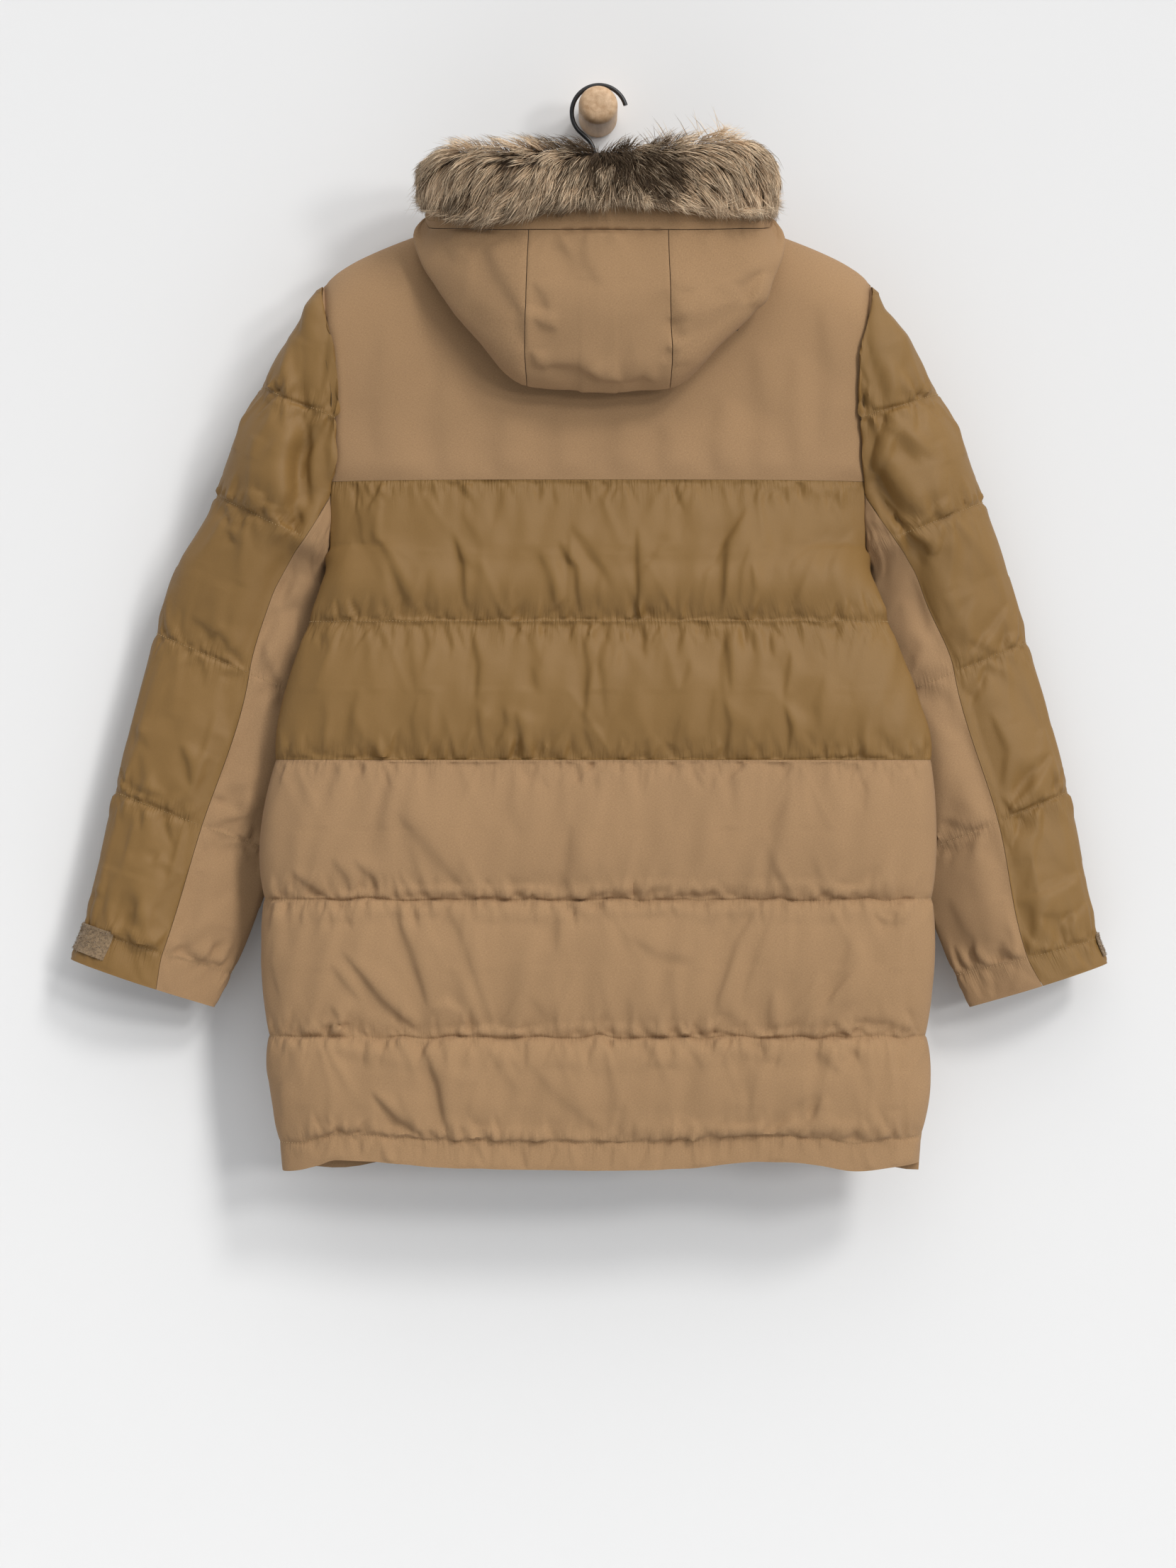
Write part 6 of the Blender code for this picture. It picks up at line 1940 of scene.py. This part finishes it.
def wood_finish():
    material, tree, shader = principled("beech", Roughness=0.5, Specular_IOR_Level=0.35)
    grain = maths(tree, "MULTIPLY", object_noise(tree, (160, 14, 160), 5), 0.8)
    fleck = maths(tree, "MULTIPLY", object_noise(tree, (900, 160, 700), 2), 0.25)
    mix = maths(tree, "ADD", grain, fleck)
    colour = colour_ramp(tree, mix, (0.3, (0.42, 0.25, 0.13)), (0.75, (0.70, 0.50, 0.32)))
    tree.links.new(colour, shader.inputs["Base Color"])
    relief(tree, shader, mix, 0.0001, 0.6)
    return material


bpy.ops.object.select_all(action="DESELECT")
bpy.ops.mesh.primitive_cylinder_add(vertices=96, radius=PEG_RADIUS * MM, depth=PEG_LENGTH * MM,
                                    location=(0, -PEG_LENGTH / 2 * MM, 0),
                                    rotation=(math.pi / 2, 0, 0))
peg = bpy.context.object
peg.name = peg.data.name = "peg_turned"
bpy.ops.object.transform_apply(location=True, rotation=True, scale=True)
peg.data.materials.append(wood_finish())
select_faces(peg, lambda at, way: way.y < -0.9)
bpy.ops.mesh.bevel(offset=11 * MM, segments=10, profile=0.55, affect="EDGES")
select_faces(peg, lambda at, way: way.y < -0.995)
bpy.ops.mesh.inset(thickness=3 * MM, depth=0.25 * MM)
bpy.ops.object.mode_set(mode="OBJECT")
round_off(peg, 40)
carry(peg, "peg_wood", "wall_peg")
print("peg faces:", len(peg.data.polygons))

# %% Hook and bar
WIRE_RADIUS, HOOK_RADIUS = 2.25, 27.0


def rod(name, points, radius, material):
    """Round wire along a line of points, as a mesh with closed ends."""
    curve = bpy.data.curves.new(name, "CURVE")
    curve.dimensions, curve.bevel_depth, curve.bevel_resolution = "3D", radius * MM, 5
    curve.use_fill_caps = True
    spline = curve.splines.new("POLY")
    spline.points.add(len(points) - 1)
    for knot, point in zip(spline.points, points):
        knot.co = (*(value * MM for value in point), 1)
    piece = bpy.data.objects.new(name, curve)
    scene.collection.objects.link(piece)
    only(piece)
    bpy.ops.object.convert(target="MESH")
    piece = bpy.context.object
    bpy.ops.object.mode_set(mode="EDIT")
    bpy.ops.mesh.select_all(action="SELECT")
    bpy.ops.mesh.remove_doubles(threshold=1e-6)
    bpy.ops.mesh.normals_make_consistent(inside=False)
    bpy.ops.object.mode_set(mode="OBJECT")
    piece.data.materials.clear()
    piece.data.materials.append(material)
    round_off(piece, 50)
    return piece


def through(points, step):
    """Smooth line through points, at about even steps."""
    points = np.array(points, float)
    reach = run_length(points)
    at = np.linspace(0, reach[-1], int(reach[-1] / step))
    return np.stack([smooth(at, reach, points[:, k]) for k in range(3)], -1)


DIPPED = plain_finish("dipped_wire", (0.012, 0.012, 0.013), 0.0, 0.36, 500, 0.00006)
PLASTIC = plain_finish("bar_plastic", (0.03, 0.03, 0.032), 0.0, 0.5, 600, 0.00008)
centre_z = PEG_RADIUS + WIRE_RADIUS + 0.1 - HOOK_RADIUS
turns = np.radians(np.linspace(15, 222, 70))
loop = [(1.0 + HOOK_RADIUS * math.cos(t), SHOULDER_Y, centre_z + HOOK_RADIUS * math.sin(t))
        for t in turns]
stem = through([loop[-1], (-13, SHOULDER_Y, -29), (-7.5, SHOULDER_Y, -35),
                (-4.5, SHOULDER_Y, -43), (-4, SHOULDER_Y, -55), (-4, SHOULDER_Y, -85.7)], 1.5)
hook = rod("hook_wire", loop + stem[1:].tolist(), WIRE_RADIUS, DIPPED)
carry(hook, "hook_wire", "hanger_hook")
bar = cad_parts["hanger_bar"]
bar.data.materials.clear()
bar.data.materials.append(PLASTIC)
print("hook faces:", len(hook.data.polygons))

# %% [markdown]
# ## Wall, floor, light and camera
#
# The coat hangs on a plain pale wall, close to it.  Three narrow sun lamps one
# above the other stand for a tall strip of light at the right, and a wide one for a
# large soft light overhead: they leave the wall even, give each baffle its soft shade
# and throw one shadow to the left.  The wall shows only its front, so
# that the coat can be looked at from the other side too.

# %% Stage
def plaster_finish():
    material, tree, shader = principled("plain_wall", Roughness=0.9, Specular_IOR_Level=0.2)
    shader.inputs["Base Color"].default_value = (0.775, 0.778, 0.782, 1)
    sight = add(tree, "ShaderNodeNewGeometry", (-300, 300))
    clear = add(tree, "ShaderNodeBsdfTransparent", (0, -300))
    mixed = add(tree, "ShaderNodeMixShader", (300, 0))
    tree.links.new(sight.outputs["Backfacing"], mixed.inputs["Fac"])
    tree.links.new(shader.outputs["BSDF"], mixed.inputs[1])
    tree.links.new(clear.outputs["BSDF"], mixed.inputs[2])
    tree.links.new(mixed.outputs["Shader"], tree.nodes["Material Output"].inputs["Surface"])
    return material


PLASTER = plaster_finish()
for name, size, place, turn in (("stage_wall", 12, (0, 0.003, 1.0), (math.pi / 2, 0, 0)),
                                ("stage_floor", 4, (0, -1.9, -3.0), (0, 0, 0))):
    bpy.ops.object.select_all(action="DESELECT")
    bpy.ops.mesh.primitive_plane_add(size=size, location=place, rotation=turn)
    plane = bpy.context.object
    plane.name = name
    bpy.ops.object.transform_apply(location=True, rotation=True, scale=True)
    plane.data.materials.append(PLASTER)

# %% Light and camera


def sun(name, place, power, wide):
    """Sun lamp that shines from a place to the peg; wide is its angle in degrees."""
    light = bpy.data.lights.new(name, "SUN")
    light.energy, light.angle = power, math.radians(wide)
    light.color = (1.0, 0.985, 0.965)
    holder = bpy.data.objects.new(name, light)
    holder.location = place
    holder.rotation_mode = "QUATERNION"
    holder.rotation_quaternion = (-Vector(place)).to_track_quat("-Z", "Y")
    scene.collection.objects.link(holder)


sun("key_low", (2.2, -3.2, 0.4), 0.50, 9)
sun("key_middle", (2.2, -3.2, 1.5), 0.62, 9)
sun("key_high", (2.2, -3.2, 3.0), 0.90, 11)
sun("ceiling", (0.4, -1.7, 2.6), 1.20, 75)
world = bpy.data.worlds.new("room")
world.use_nodes = True
world.node_tree.nodes["Background"].inputs["Color"].default_value = (0.95, 0.97, 1.0, 1)
world.node_tree.nodes["Background"].inputs["Strength"].default_value = 0.39
scene.world = world
scene.view_settings.view_transform = "Standard"
scene.view_settings.look = "None"
camera = bpy.data.objects.new("camera", bpy.data.cameras.new("camera"))
HALF_VIEW = 10.955                      # degrees from the middle to the side
camera.data.sensor_width = 36
camera.data.lens = 18 / math.tan(math.radians(HALF_VIEW))
camera.location = (-0.010, -EYE_AWAY, -EYE_DROP * MM)
camera.rotation_euler = (math.pi / 2, 0, 0)
scene.collection.objects.link(camera)
scene.camera = camera
print("camera lens", round(camera.data.lens, 1))

# %% Update the scene
bpy.context.view_layer.update()
